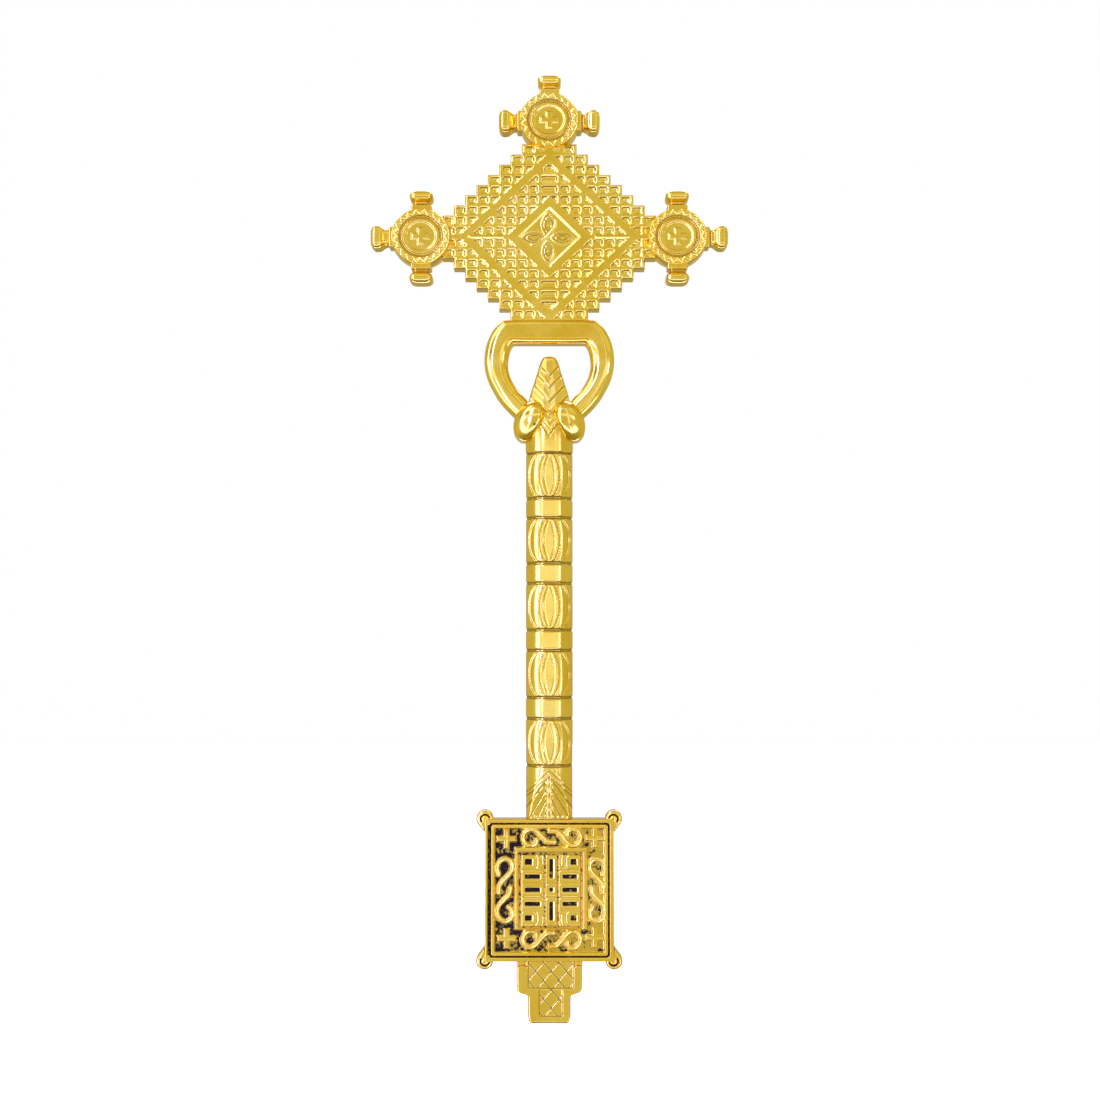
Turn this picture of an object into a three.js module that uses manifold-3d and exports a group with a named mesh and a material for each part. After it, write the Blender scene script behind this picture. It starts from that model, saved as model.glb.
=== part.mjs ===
// Ethiopian hand cross in polished brass: a stepped lattice head with three
// roundels, a stirrup neck, an ornamented round shaft, a square tablet and a
// two-step foot. Millimetres, +Z up, the front faces -Y, the origin is at the
// middle of the underside of the foot. Every piece is a body of its own, and
// the pieces hold each other by tongues, tenons, spigots and dowels.
import * as THREE from 'three';
import { mergeVertices } from 'three/addons/utils/BufferGeometryUtils.js';
import Module from 'manifold-3d';

const wasm = await Module();
wasm.setup();

// ---------------------------------------------------------------- dimensions
const GAP = 0.3; // room between a piece and the neighbour that it is cut by
const SEAT = 0.1; // room between two flat shoulders

// head plate
const HEAD_Z = 275.0; // height of the middle of the head
const PLATE_T = 7.0; // plate thickness
const STEP_X = 4.02; // one step of the outline, across
const STEP_Z = 3.65; // one step of the outline, up
const STEP_X0 = 9.7; // half width of the topmost row
const STEP_Z0 = 7.65; // half height of the widest row
const ROWS = 8; // rows from the middle to the top

// roundels
const SIDE_X = 45.4; // side roundel centres, across
const TOP_Z = 316.7; // top roundel centre, up
const RIM_R = 9.95; // outside of a roundel
const BORE_R = 6.9; // bore of a roundel
const RIM_T = 10.7; // roundel thickness
const DISC_R = 6.6; // medallion
const DISC_T = 10.0;
const FIELD_R = 5.6; // recessed field of a medallion
const FIELD_DEEP = 0.55;

// knobs
const KNOB_W = 7.8;
const KNOB_T = 9.4;
const KNOB_OUT_VERTICAL = 16.6; // reach from the roundel's centre
const KNOB_OUT_LEVEL = 17.9;
const KNOB_PIN_R = 1.5;

// stirrup
const STIRRUP_T = 9.0;
const BAR_TOP = HEAD_Z - 29.55 - SEAT; // the plate's lowest edge rests here
const BAR_LOW = 237.0;
const TONGUE_W = 22.0; // the plate's lower tongue
const TONGUE_T = 3.2;
const TONGUE_LONG = 4.0;

// shaft head
const SHAFT_R = 8.2;
const BULB_X = 7.05;
const BULB_Z = 209.35;
const BULB_A = 7.5; // long half axis
const BULB_B = 5.1; // short half axis
const BULB_LEAN = (25 * Math.PI) / 180;
const BULB_FLAT = 4.0; // half length of the straight part, front to back
const BULB_Y = 5.7; // half axis beyond the straight part
const SPIKE_TIP = 232.8;
const SPIKE_V = 203.6; // lowest point of the spike's pointed inlay
const COLLAR_LOW = 197.95;
const SPIGOT_R = 4.5;
const SPIGOT_LONG = 8.0;

// shaft
const SHAFT_LOW = 70.3 + SEAT;
const GROOVES = [181.97, 175.11, 159.21, 152.23, 135.97, 128.85, 112.48, 105.18, 88.88];
const GROOVE_DEEP = 0.45;
const GROOVE_HALF = 0.6;
const TANG_W = 9.0;
const TANG_T = 2.8;
const TANG_LONG = 5.0;

// tablet
const TAB_X = 22.45; // half width
const TAB_LOW = 21.3;
const TAB_TOP = 70.3;
const TAB_T = 8.0;
const RECESS_X = 21.5; // half width of the recess
const RECESS_LOW = 22.6;
const RECESS_TOP = 69.2;
const RECESS_DEEP = 1.7;
const PANEL_X = 20.25; // half width of a panel
const PANEL_LOW = 23.85;
const PANEL_TOP = 68.1;
const LUG_R = 3.0;
const LUG_T = 6.8;
const LUG_PIN_R = 1.1;

// foot
const FOOT_UP_X = 11.4; // half widths
const FOOT_DOWN_X = 7.4;
const FOOT_END_X = 6.4;
const FOOT_STEP_Z = 10.3;
const FOOT_T = 6.0;

// ------------------------------------------------------------------ helpers
const brass = (color, roughness = 0.22) =>
  new THREE.MeshStandardMaterial({ color, roughness, metalness: 1.0, flatShading: true });
const BRIGHT = 0xdcb53a;
const WARM = 0xd2a630;

// a closed geometry as a solid, with shared vertices merged
function solid(geometry) {
  const g = geometry.index ? geometry.toNonIndexed() : geometry.clone();
  for (const key of Object.keys(g.attributes)) if (key !== 'position') g.deleteAttribute(key);
  const m = mergeVertices(g, 1e-4);
  const idx = m.index.array;
  const tri = [];
  for (let i = 0; i < idx.length; i += 3) {
    const [a, b, c] = [idx[i], idx[i + 1], idx[i + 2]];
    if (a !== b && b !== c && a !== c) tri.push(a, b, c);
  }
  return new wasm.Manifold(
    new wasm.Mesh({
      numProp: 3,
      vertProperties: new Float32Array(m.attributes.position.array),
      triVerts: new Uint32Array(tri),
    }),
  );
}

function geometryOf(manifold) {
  const mesh = manifold.getMesh();
  const g = new THREE.BufferGeometry();
  const n = mesh.numProp;
  const count = mesh.vertProperties.length / n;
  const pos = new Float32Array(count * 3);
  for (let i = 0; i < count; i++)
    for (let k = 0; k < 3; k++) pos[3 * i + k] = mesh.vertProperties[n * i + k];
  g.setAttribute('position', new THREE.BufferAttribute(pos, 3));
  g.setIndex(new THREE.BufferAttribute(new Uint32Array(mesh.triVerts), 1));
  g.computeVertexNormals();
  return g;
}

// an outline drawn in the front view, (x, z), given a thickness along Y about y = 0
function upright(shape, thickness, bevel = 0, steps = 2, curve = 6) {
  const g = new THREE.ExtrudeGeometry(shape, {
    depth: thickness - 2 * bevel,
    bevelEnabled: bevel > 0,
    bevelThickness: bevel,
    bevelSize: bevel,
    bevelOffset: -bevel,
    bevelSegments: steps,
    curveSegments: curve,
    steps: 1,
  });
  const p = g.attributes.position;
  const half = thickness / 2 - bevel;
  for (let i = 0; i < p.count; i++) {
    const [x, y, z] = [p.getX(i), p.getY(i), p.getZ(i)];
    p.setXYZ(i, x, half - z, y);
  }
  return g;
}

const polygon = (points) => new THREE.Shape(points.map(([x, y]) => new THREE.Vector2(x, y)));
const box = (x0, x1, y0, y1, z0, z1) =>
  new THREE.BoxGeometry(x1 - x0, y1 - y0, z1 - z0).translate((x0 + x1) / 2, (y0 + y1) / 2, (z0 + z1) / 2);
// a cylinder along Y
const drum = (r, t, x, z, sides = 48) =>
  new THREE.CylinderGeometry(r, r, t, sides).translate(x, 0, z);
// a turned body about Z, from a profile of [radius, z] that starts and ends on the axis
const turned = (profile, sides) =>
  new THREE.LatheGeometry(
    profile.map(([r, z]) => new THREE.Vector2(r, z)),
    sides,
  ).rotateX(Math.PI / 2);

const cross = new THREE.Group();
function piece(name, manifold, material, parent = cross) {
  const mesh = new THREE.Mesh(geometryOf(manifold), material);
  mesh.name = name;
  parent.add(mesh);
  return mesh;
}

// --------------------------------------------------------------- head plate
const rowX = (k) => STEP_X0 + STEP_X * (k - 1); // half width of row k, from the top
const rowZ = (k) => STEP_Z0 + STEP_Z * (ROWS - k); // half height of its outer edge
function steppedOutline() {
  const right = [];
  for (let k = 1; k <= ROWS; k++) {
    right.push([rowX(k), rowZ(k)]);
    if (k < ROWS) right.push([rowX(k), rowZ(k + 1)]);
  }
  // the lower half mirrors the upper one down to its second row
  const low = right
    .filter(([x]) => x > rowX(1) + 0.01)
    .map(([x, z]) => [x, -z])
    .reverse();
  const half = [...right, ...low];
  const left = half.map(([x, z]) => [-x, z]).reverse();
  return [...half, ...left].map(([x, z]) => [x, z + HEAD_Z]);
}
let plate = solid(upright(polygon(steppedOutline()), PLATE_T));
for (const [x, z] of [[0, TOP_Z], [-SIDE_X, HEAD_Z], [SIDE_X, HEAD_Z]])
  plate = plate.subtract(solid(drum(RIM_R + GAP, PLATE_T + 2, x, z, 40)));
// tongues that enter the roundels and the bar of the stirrup
const SLOT_W = 8.0;
const SLOT_T = 3.0;
const TONGUE_IN = 8.25; // end of a roundel's tongue, from the roundel's centre
plate = plate
  .add(solid(box(-SLOT_W / 2, SLOT_W / 2, -SLOT_T / 2, SLOT_T / 2, HEAD_Z + 28, TOP_Z - TONGUE_IN)))
  .add(solid(box(-(SIDE_X - TONGUE_IN), -33, -SLOT_T / 2, SLOT_T / 2, HEAD_Z - SLOT_W / 2, HEAD_Z + SLOT_W / 2)))
  .add(solid(box(33, SIDE_X - TONGUE_IN, -SLOT_T / 2, SLOT_T / 2, HEAD_Z - SLOT_W / 2, HEAD_Z + SLOT_W / 2)))
  .add(
    solid(
      box(-TONGUE_W / 2, TONGUE_W / 2, -TONGUE_T / 2, TONGUE_T / 2, BAR_TOP - TONGUE_LONG, BAR_TOP + 2),
    ),
  );
piece('head_plate', plate, brass(BRIGHT));

// ----------------------------------------------------------------- roundels
// made about the origin with the axis along Y and the plate's slot below, at -Z
function rimSolid(knobAngles) {
  const c = 0.7;
  const h = RIM_T / 2;
  const profile = [
    [BORE_R, -h + 0.3],
    [BORE_R + 0.3, -h],
    [RIM_R - c, -h],
    [RIM_R, -h + c],
    [RIM_R, h - c],
    [RIM_R - c, h],
    [BORE_R + 0.3, h],
    [BORE_R, h - 0.3],
    [BORE_R, -h + 0.3],
  ].map(([r, y]) => new THREE.Vector2(r, y));
  let rim = solid(new THREE.LatheGeometry(profile, 36));
  rim = rim.subtract(
    solid(
      box(-SLOT_W / 2 - GAP, SLOT_W / 2 + GAP, -SLOT_T / 2 - GAP, SLOT_T / 2 + GAP, -12, -(TONGUE_IN - GAP)),
    ),
  );
  for (const a of knobAngles) {
    const socket = new THREE.CylinderGeometry(KNOB_PIN_R + GAP, KNOB_PIN_R + GAP, 4, 10)
      .rotateX(Math.PI / 2)
      .translate(0, 0, 7.75 + 2)
      .rotateY(a);
    rim = rim.subtract(solid(socket));
  }
  return rim;
}
function discSolid() {
  const h = DISC_T / 2;
  const profile = [
    [0, -h + FIELD_DEEP],
    [FIELD_R, -h + FIELD_DEEP],
    [FIELD_R + 0.15, -h],
    [DISC_R - 0.2, -h],
    [DISC_R, -h + 0.3],
    [DISC_R, h - 0.3],
    [DISC_R - 0.2, h],
    [FIELD_R + 0.15, h],
    [FIELD_R, h - FIELD_DEEP],
    [0, h - FIELD_DEEP],
  ].map(([r, y]) => new THREE.Vector2(r, y));
  let disc = solid(new THREE.LatheGeometry(profile, 28));
  // a plain sunk cross on both faces
  const a = 3.4;
  const b = 1.2;
  const outline = [[b, b], [a, b], [a, -b], [b, -b], [b, -a], [-b, -a], [-b, -b], [-a, -b], [-a, b], [-b, b], [-b, a], [b, a]];
  for (const side of [-1, 1]) {
    const cut = upright(polygon(outline), 1.0).translate(0, side * (h - FIELD_DEEP), 0);
    disc = disc.subtract(solid(cut));
  }
  return disc;
}
// a knob stands along +Z: dowel, collar, neck and a rounded head
function roundedRect(x0, x1, z0, z1, r) {
  const s = new THREE.Shape();
  s.moveTo(x0 + r, z0);
  s.lineTo(x1 - r, z0);
  s.quadraticCurveTo(x1, z0, x1, z0 + r);
  s.lineTo(x1, z1 - r);
  s.quadraticCurveTo(x1, z1, x1 - r, z1);
  s.lineTo(x0 + r, z1);
  s.quadraticCurveTo(x0, z1, x0, z1 - r);
  s.lineTo(x0, z0 + r);
  s.quadraticCurveTo(x0, z0, x0 + r, z0);
  return s;
}
function knobSolid(reach) {
  const w = KNOB_W / 2;
  const neck = 12.3 + (reach - KNOB_OUT_VERTICAL) * 0.5;
  const collar = solid(upright(polygon([[-3.8, 8.6], [3.8, 8.6], [3.8, 10.9], [3.1, 11.5], [-3.1, 11.5], [-3.8, 10.9]]), 7.8));
  const stem = solid(box(-3.1, 3.1, -3.6, 3.6, 9.0, neck + 1.5));
  const head = solid(upright(roundedRect(-w, w, neck, reach, 1.3), KNOB_T, 0.9, 1, 2));
  return collar
    .add(stem)
    .add(head)
    .subtract(solid(drum(RIM_R + GAP, 14, 0, 0, 40)))
    .add(
      solid(
        new THREE.CylinderGeometry(KNOB_PIN_R, KNOB_PIN_R, 4, 10).rotateX(Math.PI / 2).translate(0, 0, 8.05 + 2),
      ),
    );
}
const knobVertical = knobSolid(KNOB_OUT_VERTICAL);
const knobLevel = knobSolid(KNOB_OUT_LEVEL);
const disc = discSolid();
// turn: rotation about Y that carries the roundel's own +Z to its outward side
function roundel(place, x, z, turn, knobs) {
  const g = new THREE.Group();
  g.position.set(x, 0, z);
  cross.add(g);
  const angles = knobs.map(([, a]) => a - turn);
  const rim = piece(`roundel_${place}`, rimSolid(angles), brass(BRIGHT), g);
  rim.rotation.y = turn;
  piece(`medallion_${place}`, disc, brass(WARM), g);
  for (const [name, a, level] of knobs) {
    const k = piece(`knob_${place}_${name}`, level ? knobLevel : knobVertical, brass(BRIGHT), g);
    k.rotation.y = a;
  }
}
const Q = Math.PI / 2;
roundel('top', 0, TOP_Z, 0, [['outer', 0, false], ['left', -Q, true], ['right', Q, true]]);
roundel('left', -SIDE_X, HEAD_Z, -Q, [['outer', -Q, true], ['upper', 0, false], ['lower', 2 * Q, false]]);
roundel('right', SIDE_X, HEAD_Z, Q, [['outer', Q, true], ['upper', 0, false], ['lower', 2 * Q, false]]);

// -------------------------------------------------------- bulbs and stirrup
function bulbGeometry(side, grow = 0) {
  const g = new THREE.SphereGeometry(1, 18, 12);
  const p = g.attributes.position;
  for (let i = 0; i < p.count; i++) {
    const y = p.getY(i);
    const flat = Math.abs(y) < 1e-6 ? 0 : Math.sign(y) * BULB_FLAT;
    p.setXYZ(i, p.getX(i) * (BULB_B + grow), flat + y * (BULB_Y + grow), p.getZ(i) * (BULB_A + grow));
  }
  return g.rotateY(-side * BULB_LEAN).translate(side * BULB_X, 0, BULB_Z);
}
const outer = [[16.6, BAR_TOP], [18.0, 243.9], [19.95, 241.7], [21.95, 237.5], [22.85, 233.2], [22.9, 230.0], [22.5, 226.8], [21.5, 223.6], [19.9, 220.4], [18.0, 217.2], [15.6, 214.2], [12.8, 211.4]];
const inner = [[6.6, 214.8], [7.9, 217.3], [9.5, 218.9], [11.0, 220.4], [12.2, 221.9], [13.3, 223.9], [14.1, 226.0], [14.55, 228.0], [14.65, 230.0], [14.45, 232.1], [14.0, 234.4], [13.3, 236.4], [12.6, BAR_LOW]];
const smooth = (pts, n) =>
  new THREE.SplineCurve(pts.map(([x, y]) => new THREE.Vector2(x, y))).getPoints(n).map((v) => [v.x, v.y]);
const mirror = (pts) => pts.map(([x, z]) => [-x, z]).reverse();
const outerRight = smooth(outer, 15);
const innerRight = smooth(inner, 13);
const outline = [...outerRight, ...innerRight, ...mirror(innerRight), ...mirror(outerRight)].reverse();
let stirrup = solid(upright(polygon(outline), STIRRUP_T, 1.5, 2));
stirrup = stirrup.subtract(
  solid(
    box(
      -TONGUE_W / 2 - GAP,
      TONGUE_W / 2 + GAP,
      -TONGUE_T / 2 - GAP,
      TONGUE_T / 2 + GAP,
      BAR_TOP - TONGUE_LONG - GAP,
      BAR_TOP + 4,
    ),
  ),
);
const ARM_DIR = Math.atan2(-4.6, -4.2); // of the arm's tenon, in the front view, on the right
function armTenon(side, grow) {
  const half = 1.6 + grow;
  const g = box(-1.2, 5.2 + grow, -2.2 - grow, 2.2 + grow, -half, half);
  // along its own +X, turned about Y to the arm's direction
  g.rotateY(-ARM_DIR).translate(13.1, 0, 214.8);
  if (side < 0) {
    const p = g.attributes.position;
    for (let i = 0; i < p.count; i++) p.setX(i, -p.getX(i));
    const ix = g.index.array;
    for (let i = 0; i < ix.length; i += 3) [ix[i + 1], ix[i + 2]] = [ix[i + 2], ix[i + 1]];
  }
  return g;
}
for (const side of [-1, 1]) {
  stirrup = stirrup.subtract(solid(bulbGeometry(side, GAP)));
  stirrup = stirrup.add(solid(armTenon(side, 0)));
}
// the arms end at the bulbs: nothing of them is left between the bulbs
stirrup = stirrup.subtract(solid(box(-6.2, 6.2, -6, 6, 205, 220)));
piece('stirrup', stirrup, brass(BRIGHT));

// dowels under the bulbs
const DOWEL_X = 4.9;
const dowel = (side, grow) =>
  new THREE.CylinderGeometry(1.3 + grow, 1.3 + grow, 6.4 + grow, 10)
    .rotateX(Math.PI / 2)
    .translate(side * DOWEL_X, 0, 201.2 - grow / 2 + 3.2);
for (const [side, name] of [[-1, 'bulb_left'], [1, 'bulb_right']]) {
  let bulb = solid(bulbGeometry(side)).subtract(solid(armTenon(side, GAP)));
  bulb = bulb.add(solid(dowel(side, 0)));
  piece(name, bulb, brass(BRIGHT));
}

// ------------------------------------------------------------ spike, collar
function spikeSolid(grow = 0) {
  const front = [
    [2.2, SPIKE_TIP + grow],
    [2.9, 231.4],
    [7.05, 218.0],
    [7.4, 216.0],
    [4.6, 210.0],
    [4.2, 206.6],
    [0, SPIKE_V - grow * 1.4],
  ].map(([x, z]) => [x > 0 ? x + grow : 0, z]);
  const shape = polygon([...front, ...front.slice(0, -1).map(([x, z]) => [-x, z]).reverse()].reverse());
  const body = solid(upright(shape, 24));
  // the side view: thin at the tip, flush with the collar below. The room cut
  // for it in the collar is open to the front and the back.
  const low = grow > 0 ? 14 : 9.0;
  const side = [
    [1.5 + grow, 240],
    [1.5 + grow, SPIKE_TIP],
    [2.3 + grow, 231.0],
    [6.2 + grow, 214.0],
    [low, 210.0],
    [low, 195.0],
  ];
  const profile = polygon([...side, ...side.map(([y, z]) => [-y, z]).reverse()].reverse());
  const g = upright(profile, 30);
  const p = g.attributes.position;
  for (let i = 0; i < p.count; i++) {
    const [x, y, z] = [p.getX(i), p.getY(i), p.getZ(i)];
    p.setXYZ(i, -y, x, z);
  }
  // the long edges are taken off by a cone
  const cone = turned(
    [[0, 195], [SHAFT_R + 0.1, 195], [SHAFT_R + 0.1, 206], [SHAFT_R - 0.3, 210], [1.9, 233.2], [0, 233.2]],
    28,
  );
  const shaped = body.intersect(solid(g));
  return grow > 0 ? shaped : shaped.intersect(solid(cone));
}
const SPIKE_PIN_R = 1.7;
const spikePin = (grow) =>
  new THREE.CylinderGeometry(SPIKE_PIN_R + grow, SPIKE_PIN_R + grow, 9, 12)
    .rotateX(Math.PI / 2)
    .translate(0, 0, 200.4 - grow + 4.5);
let spike = spikeSolid();
let collar = solid(
  turned(
    [
      [0, COLLAR_LOW - SPIGOT_LONG],
      [SPIGOT_R - 0.5, COLLAR_LOW - SPIGOT_LONG],
      [SPIGOT_R, COLLAR_LOW - SPIGOT_LONG + 0.6],
      [SPIGOT_R, COLLAR_LOW],
      [SHAFT_R - 0.3, COLLAR_LOW],
      [SHAFT_R, COLLAR_LOW + 0.4],
      [SHAFT_R + 0.15, 201.5],
      [SHAFT_R + 0.15, 206.0],
      [SHAFT_R - 0.2, 209.0],
      [6.6, 213.0],
      [0, 213.0],
    ],
    28,
  ),
);
collar = collar.subtract(spikeSolid(GAP)).subtract(solid(spikePin(GAP)));
for (const side of [-1, 1]) {
  spike = spike.subtract(solid(bulbGeometry(side, GAP)));
  collar = collar.subtract(solid(bulbGeometry(side, GAP))).subtract(solid(dowel(side, GAP)));
}
spike = spike.add(solid(spikePin(0)));
piece('spike', spike, brass(WARM));
piece('shaft_collar', collar, brass(BRIGHT));

// -------------------------------------------------------------------- shaft
const profile = [[0, SHAFT_LOW], [SHAFT_R, SHAFT_LOW]];
for (const z of [...GROOVES].reverse())
  profile.push([SHAFT_R, z - GROOVE_HALF], [SHAFT_R - GROOVE_DEEP, z], [SHAFT_R, z + GROOVE_HALF]);
const SHAFT_TOP = COLLAR_LOW - SEAT;
const SOCKET_LOW = COLLAR_LOW - SPIGOT_LONG - GAP;
profile.push(
  [SHAFT_R, SHAFT_TOP - 0.4],
  [SHAFT_R - 0.3, SHAFT_TOP],
  [SPIGOT_R + GAP, SHAFT_TOP],
  [SPIGOT_R + GAP, SOCKET_LOW],
  [0, SOCKET_LOW],
);
let shaft = solid(turned(profile, 28));
// the foot of the shaft is brought down to the tablet's thickness, front and back
const flats = [[TAB_T / 2, SHAFT_LOW - 2], [TAB_T / 2, SHAFT_LOW], [SHAFT_R, 86.5], [14, 100], [14, SHAFT_LOW - 2]];
for (const side of [-1, 1]) {
  const g = upright(polygon(flats), 20);
  const p = g.attributes.position;
  for (let i = 0; i < p.count; i++) {
    const [x, y, z] = [p.getX(i), p.getY(i), p.getZ(i)];
    if (side > 0) p.setXYZ(i, -y, x, z);
    else p.setXYZ(i, y, -x, z);
  }
  shaft = shaft.subtract(solid(g));
}
shaft = shaft.add(
  solid(box(-TANG_W / 2, TANG_W / 2, -TANG_T / 2, TANG_T / 2, SHAFT_LOW - TANG_LONG, SHAFT_LOW + 2)),
);
piece('shaft', shaft, brass(BRIGHT));

// ------------------------------------------------------------------- tablet
const TENON_W = 12.0; // of the foot
const TENON_T = 2.8;
const TENON_LONG = 4.5;
let frame = solid(box(-TAB_X, TAB_X, -TAB_T / 2, TAB_T / 2, TAB_LOW, TAB_TOP));
for (const side of [-1, 1]) {
  const y0 = side * (TAB_T / 2 - RECESS_DEEP);
  const y1 = side * (TAB_T / 2 + 2);
  frame = frame.subtract(
    solid(box(-RECESS_X, RECESS_X, Math.min(y0, y1), Math.max(y0, y1), RECESS_LOW, RECESS_TOP)),
  );
}
frame = frame
  .subtract(
    solid(
      box(
        -TANG_W / 2 - GAP,
        TANG_W / 2 + GAP,
        -TANG_T / 2 - GAP,
        TANG_T / 2 + GAP,
        SHAFT_LOW - TANG_LONG - GAP,
        TAB_TOP + 3,
      ),
    ),
  )
  .subtract(
    solid(
      box(
        -TENON_W / 2 - GAP,
        TENON_W / 2 + GAP,
        -TENON_T / 2 - GAP,
        TENON_T / 2 + GAP,
        TAB_LOW - 3,
        TAB_LOW - SEAT + TENON_LONG + GAP,
      ),
    ),
  );
const corners = [
  ['corner_lug_top_left', -1, 1],
  ['corner_lug_top_right', 1, 1],
  ['corner_lug_bottom_left', -1, -1],
  ['corner_lug_bottom_right', 1, -1],
];
for (const [name, sx, sz] of corners) {
  const cz = sz > 0 ? TAB_TOP : TAB_LOW;
  // a dowel along the diagonal, from the lug into the corner
  const pin = (grow) => {
    const g = new THREE.CylinderGeometry(LUG_PIN_R + grow, LUG_PIN_R + grow, 4.6 + 2 * grow, 10);
    g.rotateZ(-sx * sz * (Math.PI / 4)); // CylinderGeometry runs along Y, here up in the front view
    const p = g.attributes.position;
    for (let i = 0; i < p.count; i++) p.setXYZ(i, p.getX(i), -p.getZ(i), p.getY(i));
    return g.translate(sx * (TAB_X - 0.9), 0, cz - sz * 0.9);
  };
  let lug = solid(new THREE.CylinderGeometry(LUG_R, LUG_R, LUG_T, 24).translate(sx * TAB_X, 0, cz));
  lug = lug.subtract(
    solid(box(-TAB_X - GAP, TAB_X + GAP, -TAB_T, TAB_T, TAB_LOW - GAP, TAB_TOP + GAP)),
  );
  lug = lug.add(solid(pin(0)));
  frame = frame.subtract(solid(pin(GAP)));
  piece(name, lug, brass(BRIGHT));
}
piece('tablet_frame', frame, brass(BRIGHT));
const PANEL_BACK = TAB_T / 2 - RECESS_DEEP + SEAT;
for (const [name, side] of [['tablet_panel_front', -1], ['tablet_panel_back', 1]]) {
  const y0 = side * PANEL_BACK;
  const y1 = (side * TAB_T) / 2;
  piece(
    name,
    solid(box(-PANEL_X, PANEL_X, Math.min(y0, y1), Math.max(y0, y1), PANEL_LOW, PANEL_TOP)),
    brass(WARM),
  );
}

// --------------------------------------------------------------------- foot
const FOOT_TOP = TAB_LOW - SEAT;
const fs = new THREE.Shape();
fs.moveTo(-FOOT_END_X, 0);
fs.lineTo(FOOT_END_X, 0);
fs.quadraticCurveTo(FOOT_DOWN_X, 0.2, FOOT_DOWN_X, 2.4);
fs.lineTo(FOOT_DOWN_X, FOOT_STEP_Z - 1.2);
fs.quadraticCurveTo(FOOT_DOWN_X + 0.2, FOOT_STEP_Z - 0.4, FOOT_DOWN_X + 1.6, FOOT_STEP_Z - 0.2);
fs.quadraticCurveTo(FOOT_UP_X, FOOT_STEP_Z + 0.3, FOOT_UP_X, FOOT_STEP_Z + 2.6);
fs.lineTo(FOOT_UP_X, FOOT_TOP);
fs.lineTo(-FOOT_UP_X, FOOT_TOP);
fs.lineTo(-FOOT_UP_X, FOOT_STEP_Z + 2.6);
fs.quadraticCurveTo(-FOOT_UP_X, FOOT_STEP_Z + 0.3, -FOOT_DOWN_X - 1.6, FOOT_STEP_Z - 0.2);
fs.quadraticCurveTo(-FOOT_DOWN_X - 0.2, FOOT_STEP_Z - 0.4, -FOOT_DOWN_X, FOOT_STEP_Z - 1.2);
fs.lineTo(-FOOT_DOWN_X, 2.4);
fs.quadraticCurveTo(-FOOT_DOWN_X, 0.2, -FOOT_END_X, 0);
let foot = solid(upright(fs, FOOT_T, 0, 1, 5));
// sunk field inside the side rails, front and back
const field = [
  [-3.9, 2.4], [3.9, 2.4], [3.9, 11.6], [7.9, 11.6], [7.9, FOOT_TOP - 1.2],
  [-7.9, FOOT_TOP - 1.2], [-7.9, 11.6], [-3.9, 11.6],
];
for (const side of [-1, 1])
  foot = foot.subtract(solid(upright(polygon(field), 1.4).translate(0, (side * FOOT_T) / 2, 0)));
foot = foot.add(
  solid(box(-TENON_W / 2, TENON_W / 2, -TENON_T / 2, TENON_T / 2, FOOT_TOP - 2, FOOT_TOP + TENON_LONG)),
);
piece('foot', foot, brass(BRIGHT));

export default cross;
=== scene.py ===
"""Looks for the brass hand cross: relief meshes, brass materials, light and camera.

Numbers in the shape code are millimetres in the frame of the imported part: +Z up,
the front faces -Y, the origin is at the middle of the underside of the foot.
Every mesh is written in metres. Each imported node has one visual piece.
"""

import math

import bpy
import numpy as np
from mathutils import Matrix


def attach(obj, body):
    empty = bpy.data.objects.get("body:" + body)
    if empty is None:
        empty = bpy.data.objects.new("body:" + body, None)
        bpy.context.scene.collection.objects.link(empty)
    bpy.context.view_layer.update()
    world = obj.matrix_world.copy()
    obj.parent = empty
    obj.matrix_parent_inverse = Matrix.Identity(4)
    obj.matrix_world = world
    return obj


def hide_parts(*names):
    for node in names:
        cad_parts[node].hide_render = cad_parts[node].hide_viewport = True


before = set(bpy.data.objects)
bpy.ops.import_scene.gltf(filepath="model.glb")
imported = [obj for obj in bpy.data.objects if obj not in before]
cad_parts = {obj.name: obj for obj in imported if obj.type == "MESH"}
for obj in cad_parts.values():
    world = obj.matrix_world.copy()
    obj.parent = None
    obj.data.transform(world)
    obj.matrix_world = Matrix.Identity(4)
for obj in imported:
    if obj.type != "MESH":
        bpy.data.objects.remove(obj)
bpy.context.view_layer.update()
scene = bpy.context.scene
MM = 0.001

# ------------------------------------------------------------- number helpers


def sm(t):
    """Smooth step from 0 to 1 for t from 0 to 1."""
    t = np.clip(t, 0.0, 1.0)
    return t * t * (3.0 - 2.0 * t)


def bump(d, w):
    """A rounded ridge: 1 at distance 0, 0 at distance w and beyond."""
    t = np.clip(np.abs(d) / w, 0.0, 1.0)
    return (1.0 - t * t) ** 2


def rrect(x, z, hx, hz, r):
    """Signed distance to a rectangle with round corners, negative inside."""
    qx = np.abs(x) - hx + r
    qz = np.abs(z) - hz + r
    return np.hypot(np.maximum(qx, 0), np.maximum(qz, 0)) + np.minimum(np.maximum(qx, qz), 0) - r


def almond(x, z, half, w):
    """Signed distance to an almond on the z axis: half length and half width."""
    big = (half * half + w * w) / (2.0 * w)
    off = big - w
    ax = np.abs(x)
    az = np.abs(z)
    tip = (az - half) * off > ax * half
    d = np.hypot(ax + off, az) - big
    return np.where(tip, np.hypot(ax, az - half), d)


def segment(x, z, a, b):
    """Distance to the segment from a to b."""
    ax, az = a
    dx, dz = b[0] - ax, b[1] - az
    t = np.clip(((x - ax) * dx + (z - az) * dz) / (dx * dx + dz * dz), 0, 1)
    return np.hypot(x - ax - t * dx, z - az - t * dz)


def polyline(x, z, pts):
    d = None
    for a, b in zip(pts[:-1], pts[1:]):
        s = segment(x, z, a, b)
        d = s if d is None else np.minimum(d, s)
    return d


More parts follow.
